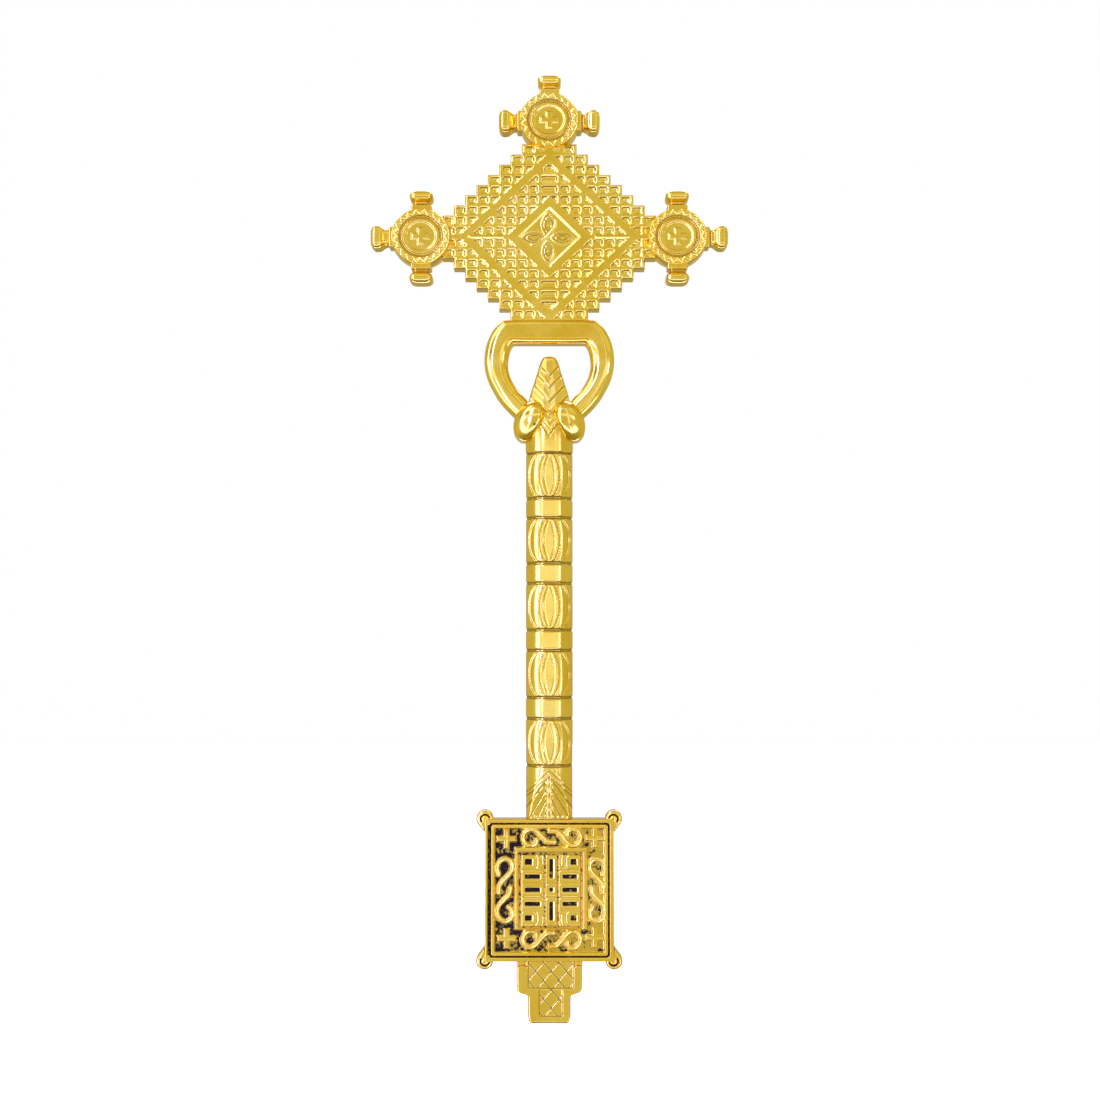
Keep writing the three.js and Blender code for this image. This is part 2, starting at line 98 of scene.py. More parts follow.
def spline(pts, n=8, closed=False):
    """Points of a smooth curve through pts (Catmull-Rom)."""
    p = np.array(pts, float)
    m = len(p)
    out = []
    for i in range(m if closed else m - 1):
        if closed:
            a, b, c, d = p[(i - 1) % m], p[i], p[(i + 1) % m], p[(i + 2) % m]
        else:
            b, c = p[i], p[i + 1]
            a = p[i - 1] if i > 0 else 2 * b - c
            d = p[i + 2] if i + 2 < m else 2 * c - b
        for k in range(n):
            t = k / n
            out.append(0.5 * ((2 * b) + (c - a) * t + (2 * a - 5 * b + 4 * c - d) * t * t
                              + (3 * b - a - 3 * c + d) * t ** 3))
    if not closed:
        out.append(p[-1])
    return np.array(out)


def hash01(n):
    """A fixed random number in 0..1 for whole numbers n."""
    s = np.sin(n * 12.9898 + 4.1414) * 43758.5453
    return s - np.floor(s)


def unit(v):
    return v / np.maximum(np.linalg.norm(v, axis=-1, keepdims=True), 1e-9)


# --------------------------------------------------------------- mesh builder


class Shell:
    """Gathers patches with their own normals into one welded mesh."""

    def __init__(self, name):
        self.name = name
        self.pos, self.nor, self.pat, self.quads = [], [], [], []
        self.count = 0

    def points(self, pos, nor, pat=None):
        pos = np.asarray(pos, float).reshape(-1, 3)
        nor = unit(np.asarray(nor, float).reshape(-1, 3))
        pat = np.zeros(len(pos)) if pat is None else np.clip(np.asarray(pat, float).reshape(-1), 0, 1)
        start = self.count
        self.pos.append(pos)
        self.nor.append(nor)
        self.pat.append(pat)
        self.count += len(pos)
        return start

    def faces(self, quads):
        """Adds quads of point numbers, turned so that they face along their normals."""
        pos = np.concatenate(self.pos)
        nor = np.concatenate(self.nor)
        q = np.asarray(quads).reshape(-1, 4)
        a = pos[q[:, 2]] - pos[q[:, 0]]
        b = pos[q[:, 3]] - pos[q[:, 1]]
        g = np.cross(a, b)
        if (g * nor[q].mean(1)).sum(1).sum() < 0:
            q = q[:, ::-1]
        self.quads.append(q)

    def grid(self, pos, nor, pat=None, wrap_u=False, wrap_v=False, keep=None):
        """A grid of points (rows u, columns v), closed along u or v if asked."""
        r, c = pos.shape[:2]
        start = self.points(pos, nor, pat)
        idx = np.arange(r * c).reshape(r, c) + start
        if wrap_u:
            idx = np.vstack([idx, idx[:1]])
        if wrap_v:
            idx = np.hstack([idx, idx[:, :1]])
        q = np.stack([idx[:-1, :-1], idx[1:, :-1], idx[1:, 1:], idx[:-1, 1:]], -1)
        if keep is not None:
            q = q[keep]
        self.faces(q.reshape(-1, 4))

    def build(self, node, material, weld=True):
        pos = np.concatenate(self.pos)
        nor = np.concatenate(self.nor)
        pat = np.concatenate(self.pat)
        quads = np.concatenate(self.quads)
        key = np.round(pos * 5000).astype(np.int64)
        _, first, inv = np.unique(key, axis=0, return_index=True, return_inverse=True)
        inv = inv.reshape(-1)
        verts = pos[first] * MM
        pv = np.zeros(len(first))
        np.maximum.at(pv, inv, pat)
        w = inv[quads]
        loops, sizes, lnor = [], [], []
        e = w != np.roll(w, 1, axis=1)
        n_unique = e.sum(1)
        full = n_unique == 4
        full &= (w[:, 0] != w[:, 2]) & (w[:, 1] != w[:, 3])
        tri = n_unique == 3
        lv = [w[full].reshape(-1), w[tri][e[tri]].reshape(-1)]
        ln = [nor[quads[full]].reshape(-1, 3), nor[quads[tri][e[tri]]].reshape(-1, 3)]
        loop_v = np.concatenate(lv)
        loop_n = np.concatenate(ln)
        nq, nt = int(full.sum()), int(tri.sum())
        used = np.unique(loop_v)
        remap = np.full(len(verts), -1)
        remap[used] = np.arange(len(used))
        verts, pv, loop_v = verts[used], pv[used], remap[loop_v]
        me = bpy.data.meshes.new(self.name)
        me.vertices.add(len(verts))
        me.vertices.foreach_set("co", verts.astype(np.float32).reshape(-1))
        me.loops.add(len(loop_v))
        me.loops.foreach_set("vertex_index", loop_v.astype(np.int32))
        me.polygons.add(nq + nt)
        starts = np.concatenate([np.arange(nq) * 4, nq * 4 + np.arange(nt) * 3])
        me.polygons.foreach_set("loop_start", starts.astype(np.int32))
        me.update(calc_edges=True)
        me.polygons.foreach_set("use_smooth", np.ones(nq + nt, bool))
        # this attribute holds dark patina and painted shade
        at = me.attributes.new("patina_and_shade", "FLOAT", "POINT")
        at.data.foreach_set("value", pv.astype(np.float32))
        me.materials.append(material)
        me.normals_split_custom_set(loop_n.astype(np.float32).tolist())
        me.update()
        ob = bpy.data.objects.new(self.name, me)
        scene.collection.objects.link(ob)
        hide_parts(node)
        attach(ob, "root")
        return ob


def slope(h, a, b, e):
    """Central differences of h(a, b) along a and b."""
    ha = (h(a + e, b) - h(a - e, b)) / (2 * e)
    hb = (h(a, b + e) - h(a, b - e)) / (2 * e)
    return ha, hb


def lines_at(marks, step, near=()):
    """Grid lines that pass through every mark, with about step between, and extra lines near marks."""
    marks = sorted(set(np.round(marks, 5)))
    out = []
    for a, b in zip(marks[:-1], marks[1:]):
        n = max(1, int(round((b - a) / step)))
        seg = list(np.linspace(a, b, n + 1)[:-1])
        if near and b - a > 2.5 * max(near):
            inner = [s for s in seg if a + max(near) < s < b - max(near)]
            seg = [a] + [a + q for q in near] + inner + [b - q for q in reversed(near)]
        out += seg
    out.append(marks[-1])
    return np.array(sorted(set(np.round(out, 5))))


def plaque(sh, xs, zs, front, back, inside, e=0.08, pat=None):
    """A flat piece with relief: front(x, z) and back(x, z) are half thicknesses."""
    X, Z = np.meshgrid(xs, zs, indexing="ij")
    xc, zc = np.meshgrid((xs[:-1] + xs[1:]) / 2, (zs[:-1] + zs[1:]) / 2, indexing="ij")
    keep = inside(xc, zc)
    F, B = front(X, Z), back(X, Z)
    fx, fz = slope(front, X, Z, e)
    bx, bz = slope(back, X, Z, e)
    one = np.ones_like(F)
    pt = pat(X, Z) if pat is not None else None
    sh.grid(np.stack([X, -F, Z], -1), np.stack([-fx, -one, -fz], -1), pt, keep=keep)
    sh.grid(np.stack([X, B, Z], -1), np.stack([-bx, one, -bz], -1), pt, keep=keep)
    pad = np.zeros((keep.shape[0] + 2, keep.shape[1] + 2), bool)
    pad[1:-1, 1:-1] = keep
    walls = []
    # edges across x: between cell (i-1, j) and (i, j) at line xs[i]
    left, right = pad[:-1, 1:-1], pad[1:, 1:-1]
    for cond, nx in ((right & ~left, -1.0), (left & ~right, 1.0)):
        i, j = np.nonzero(cond)
        if len(i):
            walls.append((i, j, i, j + 1, (nx, 0, 0)))
    low, high = pad[1:-1, :-1], pad[1:-1, 1:]
    for cond, nz in ((high & ~low, -1.0), (low & ~high, 1.0)):
        i, j = np.nonzero(cond)
        if len(i):
            walls.append((i, j, i + 1, j, (0, 0, nz)))
    for i0, j0, i1, j1, n in walls:
        a = np.stack([X[i0, j0], -F[i0, j0], Z[i0, j0]], -1)
        b = np.stack([X[i1, j1], -F[i1, j1], Z[i1, j1]], -1)
        c = np.stack([X[i1, j1], B[i1, j1], Z[i1, j1]], -1)
        d = np.stack([X[i0, j0], B[i0, j0], Z[i0, j0]], -1)
        p = np.stack([a, b, c, d], 1)
        nn = np.broadcast_to(np.array(n, float), p.shape)
        start = sh.points(p, nn)
        q = np.arange(len(a) * 4).reshape(-1, 4) + start
        # each wall quad is turned on its own
        pos = p
        g = np.cross(pos[:, 2] - pos[:, 0], pos[:, 3] - pos[:, 1])
        flip = (g @ np.array(n)) < 0
        q[flip] = q[flip][:, ::-1]
        sh.quads.append(q)


def loft(sh, P, wrap_v=True, wrap_u=False, pat=None, centre=None, keep=None):
    """A smooth patch through the points P (u, v, 3). Its normals point away from the row centres."""
    def grad(axis, wrap):
        if wrap:
            return np.roll(P, -1, axis) - np.roll(P, 1, axis)
        return np.gradient(P, axis=axis)
    du, dv = grad(0, wrap_u), grad(1, wrap_v)
    N = np.cross(du, dv)
    ln = np.linalg.norm(N, axis=-1, keepdims=True)
    bad = ln[..., 0] < 1e-9
    N = N / np.maximum(ln, 1e-9)
    if bad.any():
        for row in range(P.shape[0]):
            if bad[row].all():
                src = row + 1 if row + 1 < P.shape[0] and not bad[row + 1].all() else row - 1
                N[row] = unit(N[src].mean(0))
    c = P.mean(axis=1, keepdims=True) if centre is None else np.asarray(centre, float)
    if ((P - c) * N).sum() < 0:
        N = -N
    sh.grid(P, N, pat, wrap_u=wrap_u, wrap_v=wrap_v, keep=keep)


def rr_loop(hw, hd, rc, arc=8, edge=6):
    """A loop of points (w, d) round a rectangle with round corners; the same count for any size."""
    rc = min(rc, hw * 0.98, hd * 0.98)
    pts = []
    corners = ((1, 1, 0), (-1, 1, 90), (-1, -1, 180), (1, -1, 270))
    for k, (sx, sz, a0) in enumerate(corners):
        cx, cz = sx * (hw - rc), sz * (hd - rc)
        arcp = [(cx + rc * math.cos(math.radians(a0 + 90 * i / arc)),
                 cz + rc * math.sin(math.radians(a0 + 90 * i / arc))) for i in range(arc + 1)]
        pts += arcp
        nsx, nsz, na = corners[(k + 1) % 4]
        nx0 = nsx * (hw - rc) + rc * math.cos(math.radians(na))
        nz0 = nsz * (hd - rc) + rc * math.sin(math.radians(na))
        for i in range(1, edge):
            t = i / edge
            pts.append((arcp[-1][0] + (nx0 - arcp[-1][0]) * t, arcp[-1][1] + (nz0 - arcp[-1][1]) * t))
    return np.array(pts)


def cap(sh, row, n, centre=None):
    """Closes a loop of points with a flat fan that faces along n."""
    c = row.mean(0) if centre is None else np.asarray(centre, float)
    P = np.stack([row, np.broadcast_to(c, row.shape)])
    N = np.broadcast_to(np.array(n, float), P.shape)
    sh.grid(P, N, wrap_v=True)


# ------------------------------------------------------------------ materials


class Nodes:
    """Short calls for a shader tree."""

    def __init__(self, tree):
        self.t = tree
        tree.nodes.clear()

    def add(self, kind, **kw):
        n = self.t.nodes.new(kind)
        for k, v in kw.items():
            setattr(n, k, v)
        return n

    def put(self, sock, v):
        if isinstance(v, bpy.types.NodeSocket):
            self.t.links.new(v, sock)
        elif v is not None:
            sock.default_value = v

    def m(self, op, a, b=None, c=None, clamp=False):
        n = self.add("ShaderNodeMath", operation=op, use_clamp=clamp)
        for i, v in enumerate((a, b, c)):
            if v is not None:
                self.put(n.inputs[i], v)
        return n.outputs[0]

    def ramp(self, v, lo, hi, a=0.0, b=1.0, smooth=True):
        n = self.add("ShaderNodeMapRange", interpolation_type="SMOOTHSTEP" if smooth else "LINEAR", clamp=True) \
            if smooth else self.add("ShaderNodeMapRange", clamp=True)
        for i, s in enumerate((v, lo, hi, a, b)):
            self.put(n.inputs[i], s)
        return n.outputs[0]

    def mix(self, f, a, b):
        """Mix of two numbers."""
        n = self.add("ShaderNodeMix", data_type="FLOAT")
        self.put(n.inputs[0], f)
        self.put(n.inputs[2], a)
        self.put(n.inputs[3], b)
        return n.outputs[0]

    def mixc(self, f, a, b, mode="MIX"):
        """Mix of two colours."""
        n = self.add("ShaderNodeMix", data_type="RGBA", blend_type=mode)
        self.put(n.inputs[0], f)
        self.put(n.inputs[6], a)
        self.put(n.inputs[7], b)
        return n.outputs[2]

    def noise(self, vec, scale, detail=3.0, rough=0.5, seed=None):
        n = self.add("ShaderNodeTexNoise")
        self.put(n.inputs["Vector"], vec)
        n.inputs["Scale"].default_value = scale
        n.inputs["Detail"].default_value = detail
        n.inputs["Roughness"].default_value = rough
        return n.outputs["Fac"]


def brass(name, tone, rough, scratch, cast, shade_and_patina_gain=1.0):
    """Brass with uneven casting, fine scratches, worn edges, dark patina in the sunk places and painted shade in gaps,
    creases and under edges.
    """
    mat = bpy.data.materials.new(name)
    mat.use_nodes = True
    g = Nodes(mat.node_tree)
    out = g.add("ShaderNodeOutputMaterial")
    bsdf = g.add("ShaderNodeBsdfPrincipled")
    bsdf.inputs["Metallic"].default_value = 1.0
    bsdf.inputs["IOR"].default_value = 1.45
    bsdf.inputs["Specular IOR Level"].default_value = 0.5
    bsdf.inputs["Specular Tint"].default_value = (1.0, 0.91, 0.64, 1)
    g.t.links.new(bsdf.outputs[0], out.inputs[0])
    co = g.add("ShaderNodeTexCoord").outputs["Object"]
    # the attribute: dark patina in the sunk places and painted shade in gaps and under edges
    at = g.add("ShaderNodeAttribute", attribute_name="patina_and_shade").outputs["Fac"]
    # colour: a slow drift between a lemon and a deeper yellow, and small specks
    slow = g.noise(co, 55.0, 3.0, 0.55)
    fine = g.noise(co, 900.0, 4.0, 0.6)
    speck = g.noise(co, 2600.0, 2.0, 0.5)
    deep = tuple(c * k for c, k in zip(tone, (0.95, 0.89, 0.70))) + (1,)
    pale = tuple(min(1.0, c * k) for c, k in zip(tone, (1.03, 1.05, 1.35))) + (1,)
    col = g.mixc(g.ramp(slow, 0.3, 0.7), deep, pale)
    col = g.mixc(g.ramp(fine, 0.35, 0.75, 0.0, 0.24), col, (0.82, 0.54, 0.035, 1))
    col = g.mixc(g.ramp(speck, 0.62, 0.74, 0.0, 0.30), col, (1.0, 0.80, 0.22, 1))
    # patina and painted shade: the attribute, broken up by noise, turns to dark brown
    broken = g.noise(co, 820.0, 5.0, 0.68)
    level = g.m("ADD", at, g.m("MULTIPLY", g.m("SUBTRACT", broken, 0.5), 1.25))
    hard = g.m("MULTIPLY", g.ramp(level, 0.50, 0.60), g.ramp(at, 0.05, 0.30))
    soft = g.m("MINIMUM", g.m("MULTIPLY", at, 1.7 * shade_and_patina_gain), 0.8)
    col = g.mixc(soft, col, (0.22, 0.11, 0.011, 1))
    col = g.mixc(hard, col, (0.032, 0.020, 0.009, 1))
    # edges that hands have rubbed are a little brighter; hollows get a painted shade, a little browner
    geo = g.add("ShaderNodeNewGeometry").outputs["Pointiness"]
    col = g.mixc(g.ramp(geo, 0.54, 0.66, 0.0, 0.30), col, (1.0, 0.80, 0.20, 1))
    # painted shade: browner colour in creases and hollows
    col = g.mixc(g.ramp(geo, 0.47, 0.38, 0.0, 0.28), col, (0.50, 0.30, 0.02, 1))
    g.put(bsdf.inputs["Base Color"], col)
    # roughness: blotches, a brushed direction and dull dark places (patina and painted shade)
    blotch = g.noise(co, 160.0, 4.0, 0.6)
    map_ = g.add("ShaderNodeMapping")
    g.put(map_.inputs["Vector"], co)
    map_.inputs["Scale"].default_value = (260.0, 260.0, 4200.0)
    map_.inputs["Rotation"].default_value = (0.0, math.radians(24), 0.0)
    brush = g.noise(map_.outputs[0], 1.0, 3.0, 0.6)
    r = g.m("ADD", rough, g.ramp(blotch, 0.3, 0.7, -0.05, 0.06))
    r = g.m("ADD", r, g.ramp(brush, 0.3, 0.7, -0.5 * scratch, scratch))
    r = g.mix(hard, r, 0.62)
    r = g.m("MAXIMUM", g.m("MINIMUM", r, 0.9), 0.06)
    g.put(bsdf.inputs["Roughness"], r)
    # bump: casting grain and fine scratches
    b1 = g.add("ShaderNodeBump")
    b1.inputs["Strength"].default_value = cast
    b1.inputs["Distance"].default_value = 0.00006
    g.put(b1.inputs["Height"], g.m("ADD", fine, g.m("MULTIPLY", blotch, 2.2)))
    b2 = g.add("ShaderNodeBump")
    b2.inputs["Strength"].default_value = 0.16 + scratch
    b2.inputs["Distance"].default_value = 0.00001
    g.put(b2.inputs["Height"], brush)
    g.t.links.new(b1.outputs[0], b2.inputs["Normal"])
    g.t.links.new(b2.outputs[0], bsdf.inputs["Normal"])
    return mat


POLISHED = brass("brass_polished", (0.94, 0.640, 0.055), 0.13, 0.02, 0.08)
SATIN = brass("brass_satin", (0.94, 0.645, 0.060), 0.16, 0.03, 0.12)
RELIEF = brass("brass_relief", (0.95, 0.640, 0.055), 0.14, 0.03, 0.09, 0.3)

# ----------------------------------------------------------------- head plate
HEAD_Z = 275.0
TOP_Z = 316.7
SIDE_X = 45.4
STEP_X, STEP_Z = 4.02, 3.65


def px(u, v):
    """Millimetres on the front plane for a point of the photo, in its pixels."""
    th = math.radians(3.005)
    z = 132.48 + 600 * math.tan(th + math.atan((550 - v) / 1714.3))
    return (u - 549.3) / 1714.3 * (600 * math.cos(th) + (z - 132.48) * math.sin(th)), z


def head_room(x, dz):
    """Distance inward from the stepped outline."""
    ax = np.abs(x)
    d = np.full(np.shape(x), -1e3)
    for k in range(8):
        bx = 9.7 + STEP_X * k
        top = 7.65 + STEP_Z * (7 - k)
        low = 30.1 if top > 29 else top
        d = np.maximum(d, np.minimum(bx - ax, np.minimum(top - dz, low + dz)))
    return d


def head_pit(x, dz):
    """Distance inward from the edge of the lattice pit at a point, negative on the bars."""
    ax, az = np.abs(x), np.abs(dz)
    d1 = (ax / 32.17 + az / 30.3 - 1) / math.hypot(1 / 32.17, 1 / 30.3)
    d2 = (1 - ax / 28.56 - az / 26.9) / math.hypot(1 / 28.56, 1 / 26.9)
    d3 = (ax / 15.2 + az / 14.45 - 1) / math.hypot(1 / 15.2, 1 / 14.45)
    # outer lattice
    i = np.floor((ax - 0.73) / 4.07)
    lx = ax - (2.76 + 4.07 * i)
    j = np.floor((az - 0.35) / 3.65)
    lz = az - (0.35 + 3.65 * (j + 0.5))
    cell = -rrect(lx, lz, 2.035 - 0.27, 1.825 - 0.27, 0.7)
    cell = np.where(ax < 0.73, -1.0, cell)
    cell = np.where((dz > 29.55) & (ax < 4.9), -1.0, cell)
    outer = np.minimum(np.minimum(cell, d1), head_room(x, dz) - 0.42)
    # inner lattice
    i = np.floor((ax - 3.535) / 3.97)
    lx = np.where(ax < 3.535, ax, ax - (5.52 + 3.97 * i))
    hx = np.where(ax < 3.535, 3.06, 1.985 - 0.27)
    j = np.floor((az - 0.25) / 3.72)
    lz = az - (0.25 + 3.72 * (j + 0.5))
    cell = -rrect(lx, lz, hx, 1.86 - 0.27, 0.7)
    inner = np.minimum(np.minimum(cell, d2), d3)
    return np.maximum(outer, inner)


# the four petals: centre, along z or x, half length and half width
PETALS = (
    (px(548.2, 224.6), 0, 4.95, 2.78),
    (px(548.2, 251.2), 0, 4.45, 2.62),
    (px(534.0, 237.6), 1, 4.80, 2.62),
    (px(562.6, 237.6), 1, 4.60, 2.55),
)
# the stroke that runs from the upper petal's right side into the left petal's lower side
STROKE = spline([px(u, v) for u, v in ((555.6, 220.5), (555.4, 224.5), (553.6, 228.8), (549.9, 233.4),
                                       (545.6, 237.6), (541.2, 241.2), (536.8, 243.6), (532.0, 244.4))], 4)


def petal_relief(x, z):
    h = np.zeros(np.shape(x))
    for (cx, cz), flat, half, w in PETALS:
        lx, lz = (x - cx, z - cz) if not flat else (z - cz, x - cx)
        s = -almond(lx, lz, half, w)
        core = -almond(lx, lz, half - 2.05, w - 1.22)
        body = 0.13 * sm(s / 0.40) - 0.10 * sm((s - 0.66) / 0.34) + 0.08 * sm((core + 0.18) / 0.32)
        body -= 0.07 * sm((core - 0.34) / 0.30)
        body += 0.07 * bump(np.hypot(lx, lz), 0.42)
        h = np.maximum(h, body)
    d = polyline(x, z, STROKE)
    h = np.where(d < 0.95, h * (1 - 0.8 * sm((0.95 - d) / 0.25)), h)
    return np.maximum(h, 0.20 * bump(d, 0.66))


def head_front(x, z, front=True):
    dz = z - HEAD_Z
    ax, az = np.abs(x), np.abs(dz)
    h = np.full(np.shape(x), 3.5)
    h -= 0.38 * np.clip(1 - head_room(x, dz) / 0.38, 0, 1) ** 2
    p = head_pit(x, dz)
    # two bevels with a softer step between
    h -= 0.19 * np.clip(p / 0.30, 0, 1) + 0.15 * sm((p - 0.30) / 0.42) + 0.155 * np.clip((p - 0.72) / 0.24, 0, 1)
    # field with the petals
    d4 = (1 - ax / 11.3 - az / 11.0) / math.hypot(1 / 11.3, 1 / 11.0)
    h -= 0.42 * sm(d4 / 0.80)
    near = (ax < 11) & (az < 11)
    if near.any():
        h = h + np.where(near, petal_relief(np.where(near, x, 90.0), z) * sm((d4 - 0.1) / 0.5), 0.0)
    # rounded bars on the level axis
    for side in (-1, 1):
        d = segment(x, dz, (side * 16.6, 0.0), (side * 28.0, 0.0))
        h += 0.30 * bump(d, 0.62)
    # pad under the top roundel, and smaller ones beside the side roundels
    r = np.hypot(x, z - TOP_Z)
    h += 0.45 * sm((10.95 - r) / 0.55) * sm((4.35 - ax) / 0.5)
    return h


def head_shade_and_patina(x, z):
    """Painted shade on the upper wall of each lattice pit, which faces down, and dark patina lines round the petals."""
    dz = z - HEAD_Z
    p = head_pit(x, dz)
    up = head_pit(x, dz + 0.85)
    # painted shade: the upper wall of each pit, under the bar above it
    pit = 0.42 * sm((p - 0.22) / 0.12) * sm((0.82 - p) / 0.14) * sm((0.35 - up) / 0.3)
    line = np.zeros(np.shape(x))
    for (cx, cz), flat, half, w in PETALS:
        lx, lz = (x - cx, z - cz) if not flat else (z - cz, x - cx)
        s = -almond(lx, lz, half, w)
        core = -almond(lx, lz, half - 2.05, w - 1.22)
        line = np.maximum(line, np.maximum(bump(s - 0.98, 0.34), bump(core - 0.50, 0.34)))
    line = np.where((np.abs(x) + np.abs(dz)) < 11.5, line, 0.0)
    return np.maximum(pit, 0.38 * line)


XH = [s * (9.7 + STEP_X * k) for k in range(8) for s in (-1, 1)] + [0.0]
ZH = [HEAD_Z + 7.65 + STEP_Z * k for k in range(8)] + [HEAD_Z - 7.65 - STEP_Z * k for k in range(6)] + [HEAD_Z - 30.1, HEAD_Z]


def head_inside(x, z):
    dz = z - HEAD_Z
    ok = head_room(x, dz) > 0
    for cx, cz in ((0.0, TOP_Z), (-SIDE_X, HEAD_Z), (SIDE_X, HEAD_Z)):
        ok &= np.hypot(x - cx, z - cz) > 9.1
    return ok


def wall_lines(first, pitch, half, n):
    """Grid lines along the walls of a lattice, closer together on the walls that look left or down."""
    fine, few = (0.15, 0.84, 0.0, 0.30, 0.72, 0.96), (0.0, 0.95)
    out = []
    for i in range(n):
        c = first + pitch * i
        out += [c + half - o for o in fine] + [-(c - half + o) for o in fine]
        out += [c - half + o for o in few] + [-(c + half - o) for o in few]
    return out


def joined(fixed, extra, gap, wide, at=0.0):
    """The fixed lines, those of the extra ones that keep a gap, and fill lines where the rest is wide."""
    out = list(fixed)
    for q in extra:
        if min(fixed) < q < max(fixed) and min(abs(q - f) for f in out) > gap:
            out.append(q)
    out = sorted(out)
    fill = []
    for a, b in zip(out[:-1], out[1:]):
        most = wide if abs((a + b) / 2 - at) < 10.5 else 2 * wide
        k = int(math.ceil((b - a) / most))
        fill += [a + (b - a) * i / k for i in range(1, k)]
    return np.array(sorted(out + fill))


XL = wall_lines(2.76, 4.07, 1.765, 7) + wall_lines(5.52, 3.97, 1.715, 6) + [3.06 - o for o in (0.15, 0.84, 0.0, 0.30, 0.72, 0.96)] + [-3.06, -2.11]
ZL = [HEAD_Z + q for q in wall_lines(0.35 + 3.65 / 2, 3.65, 1.555, 8) + wall_lines(0.25 + 3.72 / 2, 3.72, 1.59, 7)]
sh = Shell("look_head_plate")
plaque(sh, joined([q for m in sorted(set(XH)) for q in (m, m - 0.2, m + 0.2) if min(XH) <= q <= max(XH)], XL, 0.095, 0.46),
       joined([q for m in sorted(set(ZH)) for q in (m, m - 0.2, m + 0.2) if min(ZH) <= q <= max(ZH)]
              + [HEAD_Z - 0.42, HEAD_Z + 0.42, HEAD_Z - 0.64, HEAD_Z + 0.64], ZL, 0.095, 0.46, HEAD_Z),
       head_front, head_front, head_inside, e=0.04, pat=head_shade_and_patina)
sh.build("head_plate", POLISHED)

# ------------------------------------------------------- roundels, medallions
CENTRES = {"top": (0.0, TOP_Z), "left": (-SIDE_X, HEAD_Z), "right": (SIDE_X, HEAD_Z)}


def tri(t):
    """Zigzag between -1 and 1 with period 1; -1 at t = 0."""
    t = t - np.floor(t)
    return 1 - 4 * np.abs(t - 0.5)


WIDE = 1.045  # the roundels are a little wider than they are high


def round_relief(sh, cx, cz, rs, h, nt, side, e=0.05, pat=None):
    """A ring of relief round (cx, cz): h(r, a) is the half thickness; a runs clockwise from the top."""
    A = np.linspace(0, 2 * math.pi, nt, endpoint=False)
    R, T = np.meshgrid(rs, A, indexing="ij")
    x, z = R * np.sin(T), R * np.cos(T)

    def flat(x, z):
        return h(np.hypot(x, z), np.arctan2(x, z))

    H = flat(x, z)
    hx, hz = slope(flat, x, z, e)
    P = np.stack([cx + WIDE * x, side * H, cz + z], -1)
    N = np.stack([-hx / WIDE, side * np.ones_like(H), -hz], -1)
    sh.grid(P, N, pat(R, T) if pat is not None else None, wrap_v=True)
    return P


def rim_height(r, a):
    n = 20
    t = a / (2 * math.pi) * n
    h = 4.52 + 0.42 * sm((r - 7.2) / 0.48)
    amp, mid = 0.60, 8.55
    k = 1 / math.hypot(1, 4 * amp * n / (2 * math.pi * 8.6))
    ridge = bump((r - mid - amp * tri(t)) * k, 0.46)
    on = sm((r - 7.4) / 0.25) * sm((9.85 - r) / 0.25)
    # a bead in each notch of the zigzag
    pitch = 2 * math.pi * mid / n
    f = t - np.floor(t)
    out = np.hypot((f - np.round(f)) * pitch, r - mid - 0.52)
    inn = np.hypot((f - 0.5) * pitch, r - mid + 0.52)
    bead = np.maximum(bump(out, 0.50), bump(inn, 0.50))
    h = h + on * (0.20 * ridge + 0.05 * bead)
    h += 0.10 * bump(r - 9.66, 0.28)
    h -= 0.75 * np.clip((r - 9.6) / 0.40, 0, 1) ** 2
    h -= 0.25 * np.clip((7.02 - r) / 0.2, 0, 1) ** 2
    return h


def rim_shade_and_patina(R, T):
    h = rim_height(R, T)
    # painted shade: the gap beside the medallion and the band under the rim's inner edge; the low places of the zigzag
    # get a little dark patina
    deep = sm((4.98 - h) / 0.12) * sm((R - 7.3) / 0.2) * sm((9.4 - R) / 0.2)
    gap = 0.40 * sm((6.98 - R) / 0.12)
    foot = bump(R - 7.28, 0.16) * 0.55
    return np.maximum(np.maximum(0.16 * deep, gap), foot)


def medal_height(r, a):
    x, z = r * np.sin(a), r * np.cos(a)
    h = 4.44 + 0.50 * sm((r - 4.62) / 0.90) - 0.52 * sm((r - 6.0) / 0.66)
    ax, az = np.abs(x + 0.05), np.abs(z + 0.1)
    s = -np.minimum(rrect(ax, az, 3.4, 1.38, 0.35), rrect(ax, az, 1.38, 3.35, 0.35))
    return h + 0.46 * sm(s / 0.86)


def medal_shade_and_patina(R, T):
    x, z = R * np.sin(T), R * np.cos(T)
    ax, az = np.abs(x + 0.05), np.abs(z + 0.1)
    s = -np.minimum(rrect(ax, az, 3.4, 1.38, 0.35), rrect(ax, az, 1.38, 3.35, 0.35))
    # painted shade round the edge of the medallion where it meets the rim; a faint dark line round the cross
    return np.maximum(0.40 * sm((R - 6.7) / 0.1), 0.12 * bump(s - 0.1, 0.3))


def wall_round(sh, cx, cz, r, h, nt, outward, rows=7):
    """The cylinder wall between the front and the back rim of a ring."""
    A = np.linspace(0, 2 * math.pi, nt, endpoint=False)
    top = h(np.full(nt, r), np.arctan2(np.sin(A), np.cos(A)))
    t = np.linspace(-1, 1, rows)[:, None]
    y = t * top[None, :]
    swell = 1 + 0.028 * (1 - t * t) * (outward > 0)
    x = cx + WIDE * swell * r * np.sin(A)[None, :] + 0 * y
    z = cz + swell * r * np.cos(A)[None, :] + 0 * y
    N = np.stack([outward * np.sin(A)[None, :] + 0 * y, 0.11 * t * (outward > 0) + 0 * y, outward * np.cos(A)[None, :] + 0 * y], -1)
    sh.grid(np.stack([x, y, z], -1), N, wrap_v=True)


